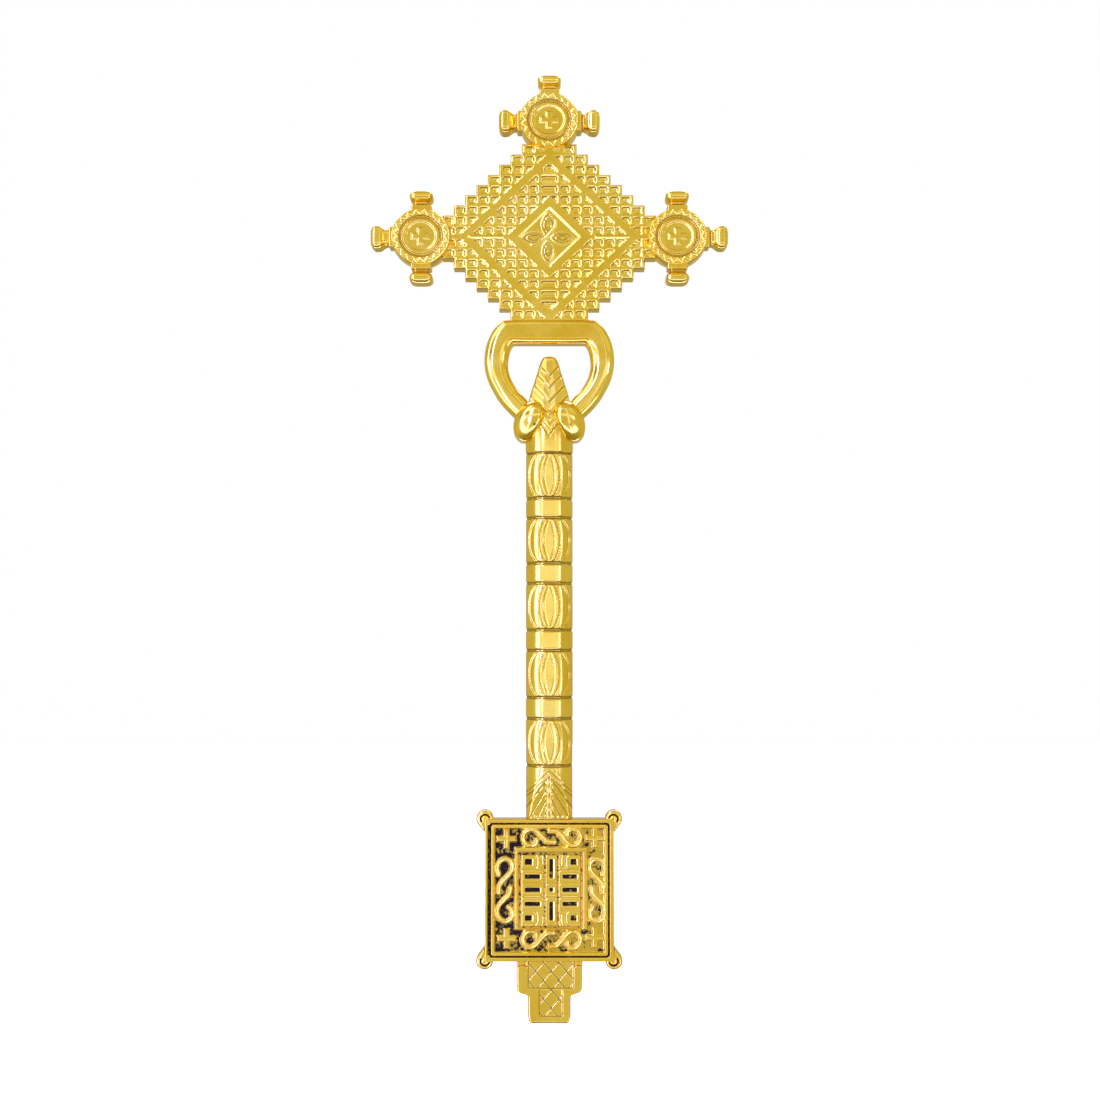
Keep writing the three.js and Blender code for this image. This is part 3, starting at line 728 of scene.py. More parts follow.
RIM_RS = np.concatenate([[6.86, 6.95, 7.05, 7.15, 7.25, 7.33, 7.42, 7.52, 7.64], np.arange(7.76, 9.5, 0.13),
                         [9.52, 9.62, 9.71, 9.79, 9.86, 9.92, 9.95]])
MED_RS = np.concatenate([np.arange(0.0, 5.2, 0.14), np.arange(5.22, 6.8, 0.09), [6.82]])
for name, (cx, cz) in CENTRES.items():
    sh = Shell("look_roundel_" + name)
    for side in (-1, 1):
        round_relief(sh, cx, cz, RIM_RS, rim_height, 380, side, 0.04, rim_shade_and_patina)
    wall_round(sh, cx, cz, 9.95, rim_height, 380, 1)
    wall_round(sh, cx, cz, 6.86, rim_height, 380, -1, 3)
    sh.build("roundel_" + name, POLISHED)
    sh = Shell("look_medallion_" + name)
    for side in (-1, 1):
        round_relief(sh, cx, cz, MED_RS, medal_height, 168, side, 0.05, medal_shade_and_patina)
    wall_round(sh, cx, cz, 6.82, medal_height, 168, 1, 3)
    sh.build("medallion_" + name, SATIN)

# ---------------------------------------------------------------------- knobs


def knob(node, cx, cz, ax, az, reach):
    """A collared knob that stands out from (cx, cz) along (ax, az) as far as reach."""
    along = np.array([ax, 0.0, az])
    across = np.array([az, 0.0, -ax])
    deep = np.array([0.0, 1.0, 0.0])
    at = np.array([cx, 0.0, cz])
    sh = Shell("look_" + node)

    def loops(rows):
        out = []
        for t, hw, hd, rc in rows:
            lo = rr_loop(hw, hd, rc)
            out.append(at + t * along + lo[:, :1] * across + lo[:, 1:] * deep)
        return np.array(out)

    # collar plate with a raised lip
    col = [(9.1, 3.6, 3.95, 0.5), (11.0, 3.6, 3.95, 0.5)]
    P = loops(col)
    loft(sh, P)
    cap(sh, P[0], -along)
    lip = spline([(11.0, 3.6, 3.95, 0.5), (11.22, 3.56, 3.9, 0.52), (11.4, 3.36, 3.7, 0.56), (11.46, 3.1, 3.42, 0.7)], 3)
    loft(sh, loops(lip))
    # neck and head in one smooth skin
    e = reach
    k = e - 16.6
    rows = spline([(11.46, 3.1, 3.42, 0.7), (11.62, 2.88, 3.15, 0.9), (11.95, 2.72, 2.95, 1.1), (12.35, 2.80, 3.1, 1.25),
                   (12.75 + 0.3 * k, 3.15, 3.55, 1.5), (13.2 + 0.5 * k, 3.62, 4.12, 1.7), (13.7 + 0.65 * k, 3.94, 4.52, 1.85),
                   (14.3 + 0.8 * k, 4.06, 4.70, 1.9), (e - 1.62, 4.08, 4.76, 1.9), (e - 1.2, 3.98, 4.66, 1.9), (e - 0.75, 3.72, 4.36, 1.9),
                   (e - 0.38, 3.30, 3.92, 1.8), (e - 0.12, 2.74, 3.3, 1.6), (e, 2.0, 2.6, 1.2), (e + 0.015, 1.1, 1.5, 0.7),
                   (e + 0.02, 0.02, 0.03, 0.01)], 4)
    rows[:, 0] = np.minimum(rows[:, 0], e + 0.02)
    P = loops(rows)
    # the neck is darker
    pat = np.broadcast_to((0.35 * bump(rows[:, 0] - 11.75, 0.5))[:, None], P.shape[:2])
    loft(sh, P, pat=pat)
    sh.build(node, POLISHED)


for name, (cx, cz) in CENTRES.items():
    if name == "top":
        knob("knob_top_outer", cx, cz, 0, 1, 16.6)
        knob("knob_top_left", cx, cz, -1, 0, 17.9)
        knob("knob_top_right", cx, cz, 1, 0, 17.9)
    else:
        s = -1 if name == "left" else 1
        knob(f"knob_{name}_outer", cx, cz, s, 0, 17.9)
        knob(f"knob_{name}_upper", cx, cz, 0, 1, 16.6)
        knob(f"knob_{name}_lower", cx, cz, 0, -1, 16.6)


def surface(sh, f, us, vs, eu, ev, wrap_u=False, wrap_v=False, pat=None, flip=None, keep=None):
    """A patch of f(u, v) -> (x, y, z) with normals from central differences."""
    U, V = np.meshgrid(us, vs, indexing="ij")
    P = np.stack(f(U, V), -1)
    du = np.stack(f(U + eu, V), -1) - np.stack(f(U - eu, V), -1)
    dv = np.stack(f(U, V + ev), -1) - np.stack(f(U, V - ev), -1)
    N = np.cross(du, dv)
    if flip:
        N = -N
    sh.grid(P, N, pat(U, V) if pat is not None else None, wrap_u=wrap_u, wrap_v=wrap_v, keep=keep)
    return P


def smin(a, b, k):
    h = np.maximum(k - np.abs(a - b), 0) / k
    return np.minimum(a, b) - h * h * k / 4


def curve(pts):
    """A smooth function through (z, value) pairs, with flat ends."""
    p = spline(sorted(pts), 12)
    return lambda z: np.interp(z, p[:, 0], p[:, 1])


# -------------------------------------------------------------------- stirrup
PAIRS = [  # outer x, z, inner x, z, corner radius: from the middle of the bar down to the bulb
    (0.0, 245.35, 0.0, 237.0, 1.5), (4.0, 245.35, 3.9, 237.0, 1.5), (8.0, 245.35, 7.6, 237.0, 1.5),
    (11.5, 245.35, 10.2, 237.0, 1.55), (14.4, 245.32, 11.7, 236.98, 1.7), (16.6, 244.95, 12.5, 236.85, 1.9),
    (18.3, 243.6, 13.0, 236.5, 2.1), (19.95, 241.6, 13.4, 235.8, 2.3), (21.1, 239.5, 13.75, 235.0, 2.45),
    (21.95, 237.4, 14.05, 234.0, 2.55), (22.5, 235.3, 14.3, 233.0, 2.6), (22.85, 233.0, 14.5, 231.7, 2.6),
    (22.93, 230.0, 14.62, 229.6, 2.6), (22.5, 226.8, 14.4, 227.5, 2.6), (21.5, 223.6, 13.75, 225.1, 2.6),
    (19.9, 220.4, 12.6, 222.7, 2.55), (18.0, 217.2, 11.1, 220.5, 2.5), (15.6, 214.2, 9.3, 218.6, 2.4),
    (12.9, 211.5, 7.6, 216.6, 2.3), (11.2, 209.8, 6.7, 214.9, 2.2)]


def bevel_loop(hw, hd, wo, wi, dp):
    """A loop of points (w, d): two flat strips joined by curved bevels, wo wide outside (+w) and wi wide inside."""
    wo, wi = min(wo, 0.9 * hw), min(wi, 0.9 * hw)
    out = []
    start = math.radians(22)
    ph = np.linspace(start, math.pi / 2, 13)
    bx = (np.sin(ph) - math.sin(start)) / (1 - math.sin(start))
    bd = (math.cos(start) - np.cos(ph)) / math.cos(start)
    bx, bd = np.concatenate([[-0.10], bx]), np.concatenate([[0.0], bd])
    for s, wide, d in ((1, wo, 1), (1, wo, -1), (-1, wi, -1), (-1, wi, 1)):
        seg = [(s * (hw - wide + wide * a), d * (hd - dp * b)) for a, b in zip(bx, bd)]
        if (s > 0) == (d < 0):
            seg = seg[::-1]
        out.append(seg)
    loop = []
    for k in range(4):
        loop += out[k]
        a, b = out[k][-1], out[(k + 1) % 4][0]
        loop += [(a[0] + (b[0] - a[0]) * t, a[1] + (b[1] - a[1]) * t) for t in (0.25, 0.5, 0.75)]
    return np.array(loop)


sh = Shell("look_stirrup")
half = spline(PAIRS, 5)
path = np.vstack([half[::-1] * np.array([-1, 1, -1, 1, 1]), half[1:]])
rows = []
for ox, oz, ix, iz, rc in path:
    o, i = np.array([ox, 0, oz]), np.array([ix, 0, iz])
    c, w = (o + i) / 2, (o - i)
    hw = np.linalg.norm(w) / 2
    w = w / (2 * hw)
    lo = bevel_loop(hw, 4.5, 3.1 * rc / 2.6, 3.0 * rc / 2.6, 2.75 * rc / 2.6)
    rows.append(c + lo[:, :1] * w + lo[:, 1:] * np.array([0, 1.0, 0]))
P = np.array(rows)
loft(sh, P)
cap(sh, P[0], (0.7, 0, -0.7))
cap(sh, P[-1], (-0.7, 0, -0.7))
sh.build("stirrup", POLISHED)

# ---------------------------------------------------------------------- bulbs


BULB_PITS = {-1: ((px(528.3, 424.4), 0.42), (px(534.6, 426.2), 0.62)), 1: ((px(561.8, 423.8), 0.36), (px(570.4, 426.0), 0.42))}


def bulb(node, s):
    """A drop whose foremost point lies up and in, so that it looks towards the viewer there."""
    sh = Shell("look_" + node)
    cx, cz = -7.05, 209.35
    lean = math.radians(25)
    apex = np.array([-4.5, 211.3])
    t = np.linspace(0, 2 * math.pi, 112, endpoint=False)
    la, sa = 7.5 * np.cos(t), 5.1 * np.sin(t)
    ex = cx + la * math.sin(lean) + sa * math.cos(lean)
    ez = cz + la * math.cos(lean) - sa * math.sin(lean)
    L = np.hypot(ex - apex[0], ez - apex[1])
    dirx, dirz = (ex - apex[0]) / L, (ez - apex[1]) / L
    m = 44
    q = np.sin(np.linspace(0, math.pi / 2, m + 1))
    fine = np.linspace(0, math.pi / 2, 600)
    fs = np.sin(fine)
    depth = 5.7
    depths = np.zeros((m + 1, len(t)))
    slopes = np.zeros((m + 1, len(t)))
    for k in range(len(t)):
        # slope far out, and how soon it is reached
        a, b = 0.41, 3.3
        s1 = a * np.tanh(fs * L[k] / b)
        lin = np.concatenate([[0], np.cumsum((s1[1:] + s1[:-1]) / 2 * np.diff(fs * L[k]))])
        # the edge term: fs^2 / sqrt(1 - fs^2), whose integral over fs is (fine - sin cos) / 2
        edge = (fine - np.sin(fine) * np.cos(fine)) / 2 * L[k]
        c = (depth - lin[-1]) / edge[-1]
        depths[:, k] = np.interp(q, fs, lin + c * edge)
        slopes[:, k] = np.interp(q, fs[:-1], (s1 + 0 * fs)[:-1]) + c * q ** 2 / np.sqrt(np.maximum(1 - q * q, 1e-4))
    X = apex[0] + q[:, None] * L * dirx
    Z = apex[1] + q[:, None] * L * dirz
    for side in (-1, 1):
        Y = side * (9.7 - depths)
        P = np.stack([s * -1 * X * 1.0, Y, Z], -1)
        du, dv = np.gradient(P, axis=0), np.roll(P, -1, 1) - np.roll(P, 1, 1)
        N = np.cross(du, dv)
        ln = np.linalg.norm(N, axis=-1, keepdims=True)
        N = N / np.maximum(ln, 1e-9)
        if (N[:, :, 1] * side).sum() < 0:
            N = -N
        N[0] = (0, side, 0)
        out = np.stack([s * -1 * (sa * 0 + np.gradient(ez)), 0 * ex, -np.gradient(ex)], -1)
        out = unit(out)
        if (out * (P[-1] - P[0])).sum() < 0:
            out = -out
        N[-1] = out
        # small casting pits low on each bulb
        pits = np.zeros(X.shape)
        for (ux, uz), w in BULB_PITS[s]:
            pits = np.maximum(pits, 0.85 * bump(np.hypot(P[:, :, 0] - ux, Z - uz), w))
        sh.grid(P, N, pits, wrap_v=True)
    Y = np.linspace(-4.0, 4.0, 5)[:, None]
    W = np.stack([np.broadcast_to(-s * ex, (5, len(t))), np.broadcast_to(Y, (5, len(t))), np.broadcast_to(ez, (5, len(t)))], -1)
    sh.grid(W, np.broadcast_to(out, W.shape), wrap_v=True)
    sh.build(node, POLISHED)


bulb("bulb_left", -1)
bulb("bulb_right", 1)

# ------------------------------------------------------------ spike and collar
V_LINES = [px(549.3, v)[1] for v in (374.0, 386.3, 400.6, 414.6)]
V_LOW = (px(549.3, 429.2)[1], px(549.3, 437.7)[1])


def v_relief(x, z):
    """Nested V cuts that run down the spike and into the collar."""
    ax = np.abs(x)
    h = np.zeros(np.shape(x))
    for i, a in enumerate(V_LINES):
        m = 1.12
        q = (a + m * ax - z) / math.hypot(1, m)
        end = (a - V_LINES[i + 1]) / math.hypot(1, m) if i + 1 < len(V_LINES) else 2.8
        step = -0.40 * sm(q / 0.58) + 0.40 * sm((q - 0.75) / max(end - 0.85, 0.9))
        h += np.where(q > 0, step, 0.0) * sm((end + 0.05 - q) / 0.05)
        h += 0.16 * bump(np.hypot(x, z - (a - 1.75)), 0.55)
    # the closing V: a bright cut, a band and the last groove
    m = 1.42
    k = math.hypot(1, m)
    q1 = (V_LOW[0] + m * ax - z) / k
    q2 = (V_LOW[1] + m * ax - z) / k
    on = sm((q2 + 2.4) / 0.3)
    h -= 0.22 * bump(q1 - 0.1, 0.46)
    h += 0.16 * bump(q1 - 0.66, 0.38) + 0.10 * bump(q1 - 1.25, 0.34)
    h -= 0.26 * bump(q2 + 0.05, 0.46)
    h += 0.12 * bump(np.hypot(x, z - px(549.3, 432.5)[1]), 0.45)
    return h


def v_patina(x, z):
    ax = np.abs(x)
    p = np.zeros(np.shape(x))
    for a in V_LINES:
        q = (a + 1.12 * ax - z) / 1.5
        p = np.maximum(p, 0.42 * bump(q - 0.42, 0.3))
    q2 = (V_LOW[1] + 1.42 * ax - z) / 1.737
    return np.maximum(p, 0.4 * bump(q2, 0.35))


spike_w = curve([(203.7, 1.2), (206.6, 3.6), (210, 4.6), (213, 6.2), (216, 7.3), (218, 6.95), (220.4, 6.35), (222.5, 5.6), (224.7, 4.95),
                 (226.8, 4.25), (228.9, 3.7), (231.0, 2.95), (232.0, 2.35), (232.55, 1.75), (232.8, 0.9)])
spike_t = curve([(203.7, 5.6), (208, 6.4), (211, 6.75), (214, 6.35), (220, 4.9), (226, 3.45), (231, 2.25), (232.2, 1.75), (232.8, 0.9)])


def spike_front(side):
    def f(u, z):
        w = spike_w(z)
        x = u * w
        t = spike_t(z)
        ax = np.abs(x)
        # a flat strip down the middle, sloped cheeks and narrow side facets
        strip = 1.15 + 0.9 * sm((228 - z) / 8)
        fall = 0.42 * np.maximum(ax - strip, 0) * sm((z - 204) / 4)
        edge = 0.9 * t * np.clip((ax - (w - 0.95)) / 0.95, 0, 1) ** 2 * 0.55
        on = sm((w - 0.55 - ax) / 0.4)
        h = t - fall - edge + on * v_relief(x, z)
        h = np.maximum(h, 0.12)
        return x, side * h, z
    return f


sh = Shell("look_spike")
zs = np.concatenate([np.arange(203.7, 231.9, 0.21), np.linspace(231.9, 232.8, 9)])
us = np.concatenate([np.linspace(-1, -0.86, 5)[:-1], np.linspace(-0.86, 0.86, 57), np.linspace(0.86, 1, 5)[1:]])
for side in (-1, 1):
    P = surface(sh, spike_front(side), us, zs, 0.006, 0.05, flip=(side < 0) is False,
                pat=lambda u, z: v_patina(u * spike_w(z), z))
    if side < 0:
        front_edge = P
    else:
        back_edge = P
for col, nx in ((0, -1), (-1, 1)):
    a, b = front_edge[col], back_edge[col]
    W = np.stack([a + (b - a) * t for t in np.linspace(0, 1, 5)])
    sh.grid(W, np.broadcast_to(np.array([nx, 0, 0.25]), W.shape))
for row, nz in ((0, -1), (-1, 1)):
    a, b = front_edge[:, row], back_edge[:, row]
    W = np.stack([a + (b - a) * t for t in np.linspace(0, 1, 5)])
    sh.grid(W, np.broadcast_to(np.array([0, 0, nz]), W.shape))
sh.build("spike", SATIN)

collar_r = curve([(197.95, 8.22), (198.4, 8.3), (200, 8.34), (203, 8.35), (206, 8.3), (208, 8.12), (210, 7.85), (211.6, 7.4), (213, 6.65)])


def collar_at(a, z):
    r = collar_r(z)
    x = r * np.sin(a)
    near = np.cos(a)
    # the V cuts, in front and behind
    h = v_relief(x, z) * sm((np.abs(near) - 0.55) / 0.2) * sm((z - 201.2) / 0.8)
    h -= 0.30 * bump(z - 197.95, 0.5)
    r2 = r + h
    return r2 * np.sin(a), -r2 * np.cos(a), z


def collar_patina(a, z):
    x = collar_r(z) * np.sin(a)
    return np.maximum(v_patina(x, z) * sm((np.abs(np.cos(a)) - 0.55) / 0.2) * sm((z - 201.2) / 0.8), 0.5 * bump(z - 197.95, 0.3))


sh = Shell("look_shaft_collar")
A = np.linspace(0, 2 * math.pi, 240, endpoint=False)
zs = np.concatenate([[197.95, 198.05, 198.2], np.arange(198.4, 213.01, 0.24), [213.0]])
zs = np.array(sorted(set(np.round(zs, 4))))
P = surface(sh, collar_at, A, zs, 0.004, 0.04, wrap_u=True, pat=collar_patina)
cap(sh, P[:, 0], (0, 0, -1))
cap(sh, P[:, -1], (0, 0, 1), (0, 0, 213.3))
sh.build("shaft_collar", POLISHED)

# ---------------------------------------------------------------------- shaft
SECTIONS = ((197.85, 181.97), (175.11, 159.21), (152.23, 135.97), (128.85, 112.48), (105.18, 88.88))
GROOVES = [s for pair in SECTIONS for s in pair][1:]
SHAFT_R = 8.2


def cord_groove(dz):
    """A cut with a fine cord lying in it."""
    return -0.34 * bump(dz, 0.78) + 0.20 * bump(dz, 0.30)


def shaft_relief(a, z):
    """Height over the plain round bar; a is the angle from the front, -pi to pi."""
    a = np.where(np.abs(a) > math.pi / 2, np.sign(a) * math.pi - a, a)  # the back is like the front
    deg = np.degrees(a)
    ad = np.abs(deg)
    mm = math.radians(1) * SHAFT_R  # millimetres per degree
    h = np.zeros(np.shape(a))
    for k, (zt, zb) in enumerate(SECTIONS):
        mid, hl = (zt + zb) / 2, (zt - zb) / 2
        t = np.clip((z - mid) / (hl - 0.55), -1, 1)
        inside = (np.abs(z - mid) < hl - 0.45)
        c = 1 - t * t
        depth = (1.0, 1.0, 0.9, 0.75, 0.9)[k]
        a1 = 12.6 * c ** 0.9                  # the almond
        a2 = 9.0 + 18.0 * c ** 0.85           # the ring round it
        a3 = 31.0 + 29.0 * c ** 0.8           # the outer lens
        fade = sm((1 - np.abs(t)) / 0.10)
        ring_mid, ring_half = (a1 + a2) / 2, (a2 - a1) / 2
        ring = bump((ad - ring_mid) / np.maximum(ring_half, 2.0), 1.12)
        seam = bump((ad - ring_mid) * mm, 0.20)
        s = 0.34 * ring - 0.08 * seam
        # the almond swells a little and is parted from the ring by a cut
        s += np.where(ad < a1, 0.13 * sm((a1 - ad) * mm / 0.55), 0.0) - 0.12 * bump((ad - a1) * mm, 0.32)
        s -= 0.14 * bump((ad - a2) * mm, 0.32)
        # outer lens: two fine ridges with a cut between
        o = (ad - a3) * mm
        s += 0.16 * bump(o - 0.44, 0.38) + 0.16 * bump(o + 0.44, 0.38) - 0.10 * bump(o, 0.28) - 0.10 * bump(o + 1.0, 0.42)
        # melon swell between the ring and the lens
        span = np.clip((ad - a2) / np.maximum(a3 - a2, 1.0), 0, 1)
        s += np.where((ad > a2) & (ad < a3), 0.13 * np.sin(math.pi * span), 0.0)
        h = np.where(inside, s * fade * depth, h)
        # small studs where the lines run into the cuts
        for ze in (zt - 0.95, zb + 0.95):
            for ang in (0.0, 11.0, 31.0):
                h = h + 0.16 * bump(np.hypot((ad - ang) * mm, z - ze), 0.5)
    for g in GROOVES:
        h = h + cord_groove(z - g)
    h = h - 0.25 * bump(z - 197.85, 0.5)
    return h


LEAF_TOP = px(549.7, 766.5)[1]
LEAF_LINES = [(px(549.7, v)[1], m) for v, m in ((776.0, 1.35), (783.0, 1.75), (792.5, 2.1), (803.0, 2.4), (812.0, 2.8))]
LEAF_DOTS = [px(549.7, v)[1] for v in (781.5, 792.5, 806.0)]


def leaf_relief(x, z):
    """A fan of slanted leaves on each side of a rib."""
    ax = np.abs(x)
    h = np.zeros(np.shape(x))
    q = (LEAF_TOP - 0.93 * ax - z) / math.hypot(1, 0.93)
    h += 0.09 * bump(q - 0.45, 0.46) + 0.09 * bump(q - 1.55, 0.46) - 0.06 * bump(q - 1.0, 0.36) - 0.07 * bump(q - 2.1, 0.38)
    above = q < 0
    for zc, m in LEAF_LINES:
        k = math.hypot(1, m)
        p = (zc - m * ax - z) / k
        h += np.where(above, 0.0, -0.08 * bump(p, 0.36) + 0.05 * bump(p - 0.62, 0.44) + 0.03 * bump(p + 0.62, 0.38))
    rib = sm((LEAF_TOP - 2.6 - z) / 1.2)
    h += rib * (0.09 * bump(ax - 0.52, 0.36) - 0.06 * bump(ax, 0.32) - 0.05 * bump(ax - 0.98, 0.28))
    for zd in LEAF_DOTS:
        h += 0.13 * bump(np.hypot(ax - 0.95, z - zd), 0.50)
    return 0.82 * h


def shaft_at(a, z):
    d = np.where(a > math.pi, a - 2 * math.pi, a)
    h = 1.4 * shaft_relief(d, z)
    r = SHAFT_R
    x = r * np.sin(d)
    c = r * np.cos(d)
    plane = 4.0 + (8.25 - 4.0) * sm_line((z - 70.4) / (87.2 - 70.4))
    y = smin(np.abs(c), plane, 0.7)
    leaf = leaf_relief(x, z) * sm((88.3 - z) / 0.5) * sm((8.0 - np.abs(x)) / 0.8)
    low = np.abs(c) > 0.5
    h = np.where(z < 88.4, h + leaf, h)
    # a row of studs along the foot
    stud = 0.0
    for k in range(-4, 5):
        stud = stud + 0.42 * bump(np.hypot(x - 1.62 * k, z - 71.05), 0.62)
    h = h + np.where(z < 72.2, stud * (np.abs(c) > 3), 0)
    nx, ny = np.sin(d), np.cos(d)
    return x + h * nx, -(np.sign(c) * y) - h * ny, z


def sm_line(t):
    t = np.clip(t, 0, 1)
    return t * (2 - t) * 0.10 + t * 0.90


def shaft_patina(a, z):
    d = np.where(a > math.pi, a - 2 * math.pi, a)
    p = np.zeros(np.shape(a))
    for g in GROOVES + [197.85]:
        p = np.maximum(p, 0.55 * bump(np.abs(z - g) - 0.42, 0.26))
    h = shaft_relief(d, z)
    p = np.maximum(p, 0.25 * sm((-0.05 - h) / 0.08) * (p < 0.05))
    x = SHAFT_R * np.sin(d)
    lf = leaf_relief(x, z)
    return np.where(z < 88.3, np.maximum(p, 0.42 * sm((-0.015 - lf) / 0.04)), p)


sh = Shell("look_shaft")
A = np.linspace(0, 2 * math.pi, 216, endpoint=False)
zl = [70.4, 197.85]
for zt, zb in SECTIONS:
    zl += [zt, zb]
zs = lines_at(zl + [88.88], 0.34)
P = surface(sh, shaft_at, A, zs, 0.004, 0.05, wrap_u=True, pat=shaft_patina)
cap(sh, P[:, 0], (0, 0, -1))
cap(sh, P[:, -1], (0, 0, 1))
sh.build("shaft", POLISHED)

# --------------------------------------------------------------------- tablet


def slab(sh, xs, zs, h, base, side, e=0.06, pat=None):
    """A relief on one side of a flat back: h(x, z) is the distance of the face from the middle plane."""
    X, Z = np.meshgrid(xs, zs, indexing="ij")
    H = h(X, Z)
    hx, hz = slope(h, X, Z, e)
    sh.grid(np.stack([X, side * H, Z], -1), np.stack([-hx, side * np.ones_like(H), -hz], -1),
            pat(X, Z) if pat is not None else None)
    B = np.full_like(H, base)
    sh.grid(np.stack([X, side * B, Z], -1), np.broadcast_to(np.array([0.0, -side, 0.0]), X.shape + (3,)))
    for sl, n in ((np.s_[0, :], (-1, 0, 0)), (np.s_[-1, :], (1, 0, 0)), (np.s_[:, 0], (0, 0, -1)), (np.s_[:, -1], (0, 0, 1))):
        a = np.stack([X[sl], side * H[sl], Z[sl]], -1)
        b = np.stack([X[sl], side * B[sl], Z[sl]], -1)
        W = np.stack([a, b])
        sh.grid(W, np.broadcast_to(np.array(n, float), W.shape))


def rect_px(u0, v0, u1, v1):
    """Centre and half sizes, in millimetres, of a rectangle given in photo pixels."""
    a, b = px(u0, v0), px(u1, v1)
    return (a[0] + b[0]) / 2, (a[1] + b[1]) / 2, abs(b[0] - a[0]) / 2, abs(a[1] - b[1]) / 2


FRAME_OUT = rect_px(514.1, 846.6, 588.1, 930.5)
FRAME_IN = rect_px(518.9, 852.6, 582.3, 927.6)
BLOCKS = [rect_px(520.9, 854.7, 544.3, 926.6), rect_px(545.2, 854.7, 557.4, 926.6), rect_px(558.5, 854.7, 580.9, 926.6)]
PITS = [
    [rect_px(*r) for r in ((525, 859, 532, 864.6), (525, 874.4, 540, 878.4), (525, 887.6, 540, 892.0), (525, 901.8, 540, 905.8), (525, 915.4, 532, 920.6))],
    [rect_px(*r) for r in ((549.4, 859, 553.2, 877.9), (549.4, 887.6, 553.2, 891.6), (549.4, 902.0, 553.2, 920.2))],
    [rect_px(*r) for r in ((570.7, 859, 576.5, 864.6), (562.6, 874.4, 577, 878.4), (562.6, 887.6, 577, 892.0), (562.6, 901.8, 577, 905.8), (570.7, 915.4, 576.5, 920.6))],
]
CROSSES = [px(u, v) for u, v in ((506.4, 838.8), (595.2, 837.9), (506.6, 938.6), (595.3, 937.4))]
SCROLLS_PX = [
    [(554.1, 842.2), (547.6, 841.8), (542.2, 837.6), (536.9, 832.0), (530.5, 829.3), (524.6, 832.4), (522.9, 838.0), (525.0, 843.6), (530.3, 845.9), (535.6, 843.4), (536.3, 840.4)],
    [(549.8, 831.4), (556.2, 831.6), (561.2, 835.6), (565.8, 841.8), (571.8, 845.6), (578.2, 843.0), (580.4, 837.2), (577.6, 831.2), (571.8, 829.2), (567.2, 831.9), (567.4, 835.0)],
    [(553.2, 933.0), (546.8, 933.4), (541.6, 937.6), (536.6, 943.6), (530.4, 947.2), (524.4, 944.5), (522.7, 938.8), (525.2, 933.2), (530.5, 931.0), (535.6, 933.6), (535.8, 936.8)],
    [(549.6, 946.4), (556.0, 945.6), (560.8, 941.0), (565.8, 934.8), (572.0, 931.0), (578.2, 933.8), (580.4, 939.8), (577.6, 945.8), (572.0, 948.2), (567.3, 945.2), (567.6, 942.0)],
    [(498.4, 874.6), (496.9, 868.0), (499.6, 861.4), (505.4, 858.9), (510.9, 862.0), (511.9, 868.4), (508.4, 874.6), (502.8, 880.4), (499.0, 886.2), (498.7, 892.6)],
    [(510.2, 887.6), (508.8, 894.2), (503.2, 900.4), (498.2, 906.4), (496.9, 913.2), (499.8, 919.0), (505.4, 921.4), (510.7, 918.2), (511.8, 911.8), (509.0, 907.2)],
]
SCROLLS_PX += [[(1101.6 - u, v) for u, v in s] for s in SCROLLS_PX[4:6]]
SCROLLS = [spline([px(u, v) for u, v in s], 5) for s in SCROLLS_PX]


def ribbon(d, w):
    """Two cords side by side with a cut between: d is the distance from the middle, w the half width."""
    return 0.52 * sm((w - d) / 0.62) * (0.96 + 0.14 * bump(d - 0.50 * w, 0.42 * w)) - 0.13 * bump(d, 0.34 * w) * (d < w)


PAN_X, PAN_Z = (-20.25, 20.42), (23.2, 68.45)
PAN_C = (sum(PAN_X) / 2, sum(PAN_Z) / 2)
PAN_H = ((PAN_X[1] - PAN_X[0]) / 2, (PAN_Z[1] - PAN_Z[0]) / 2)


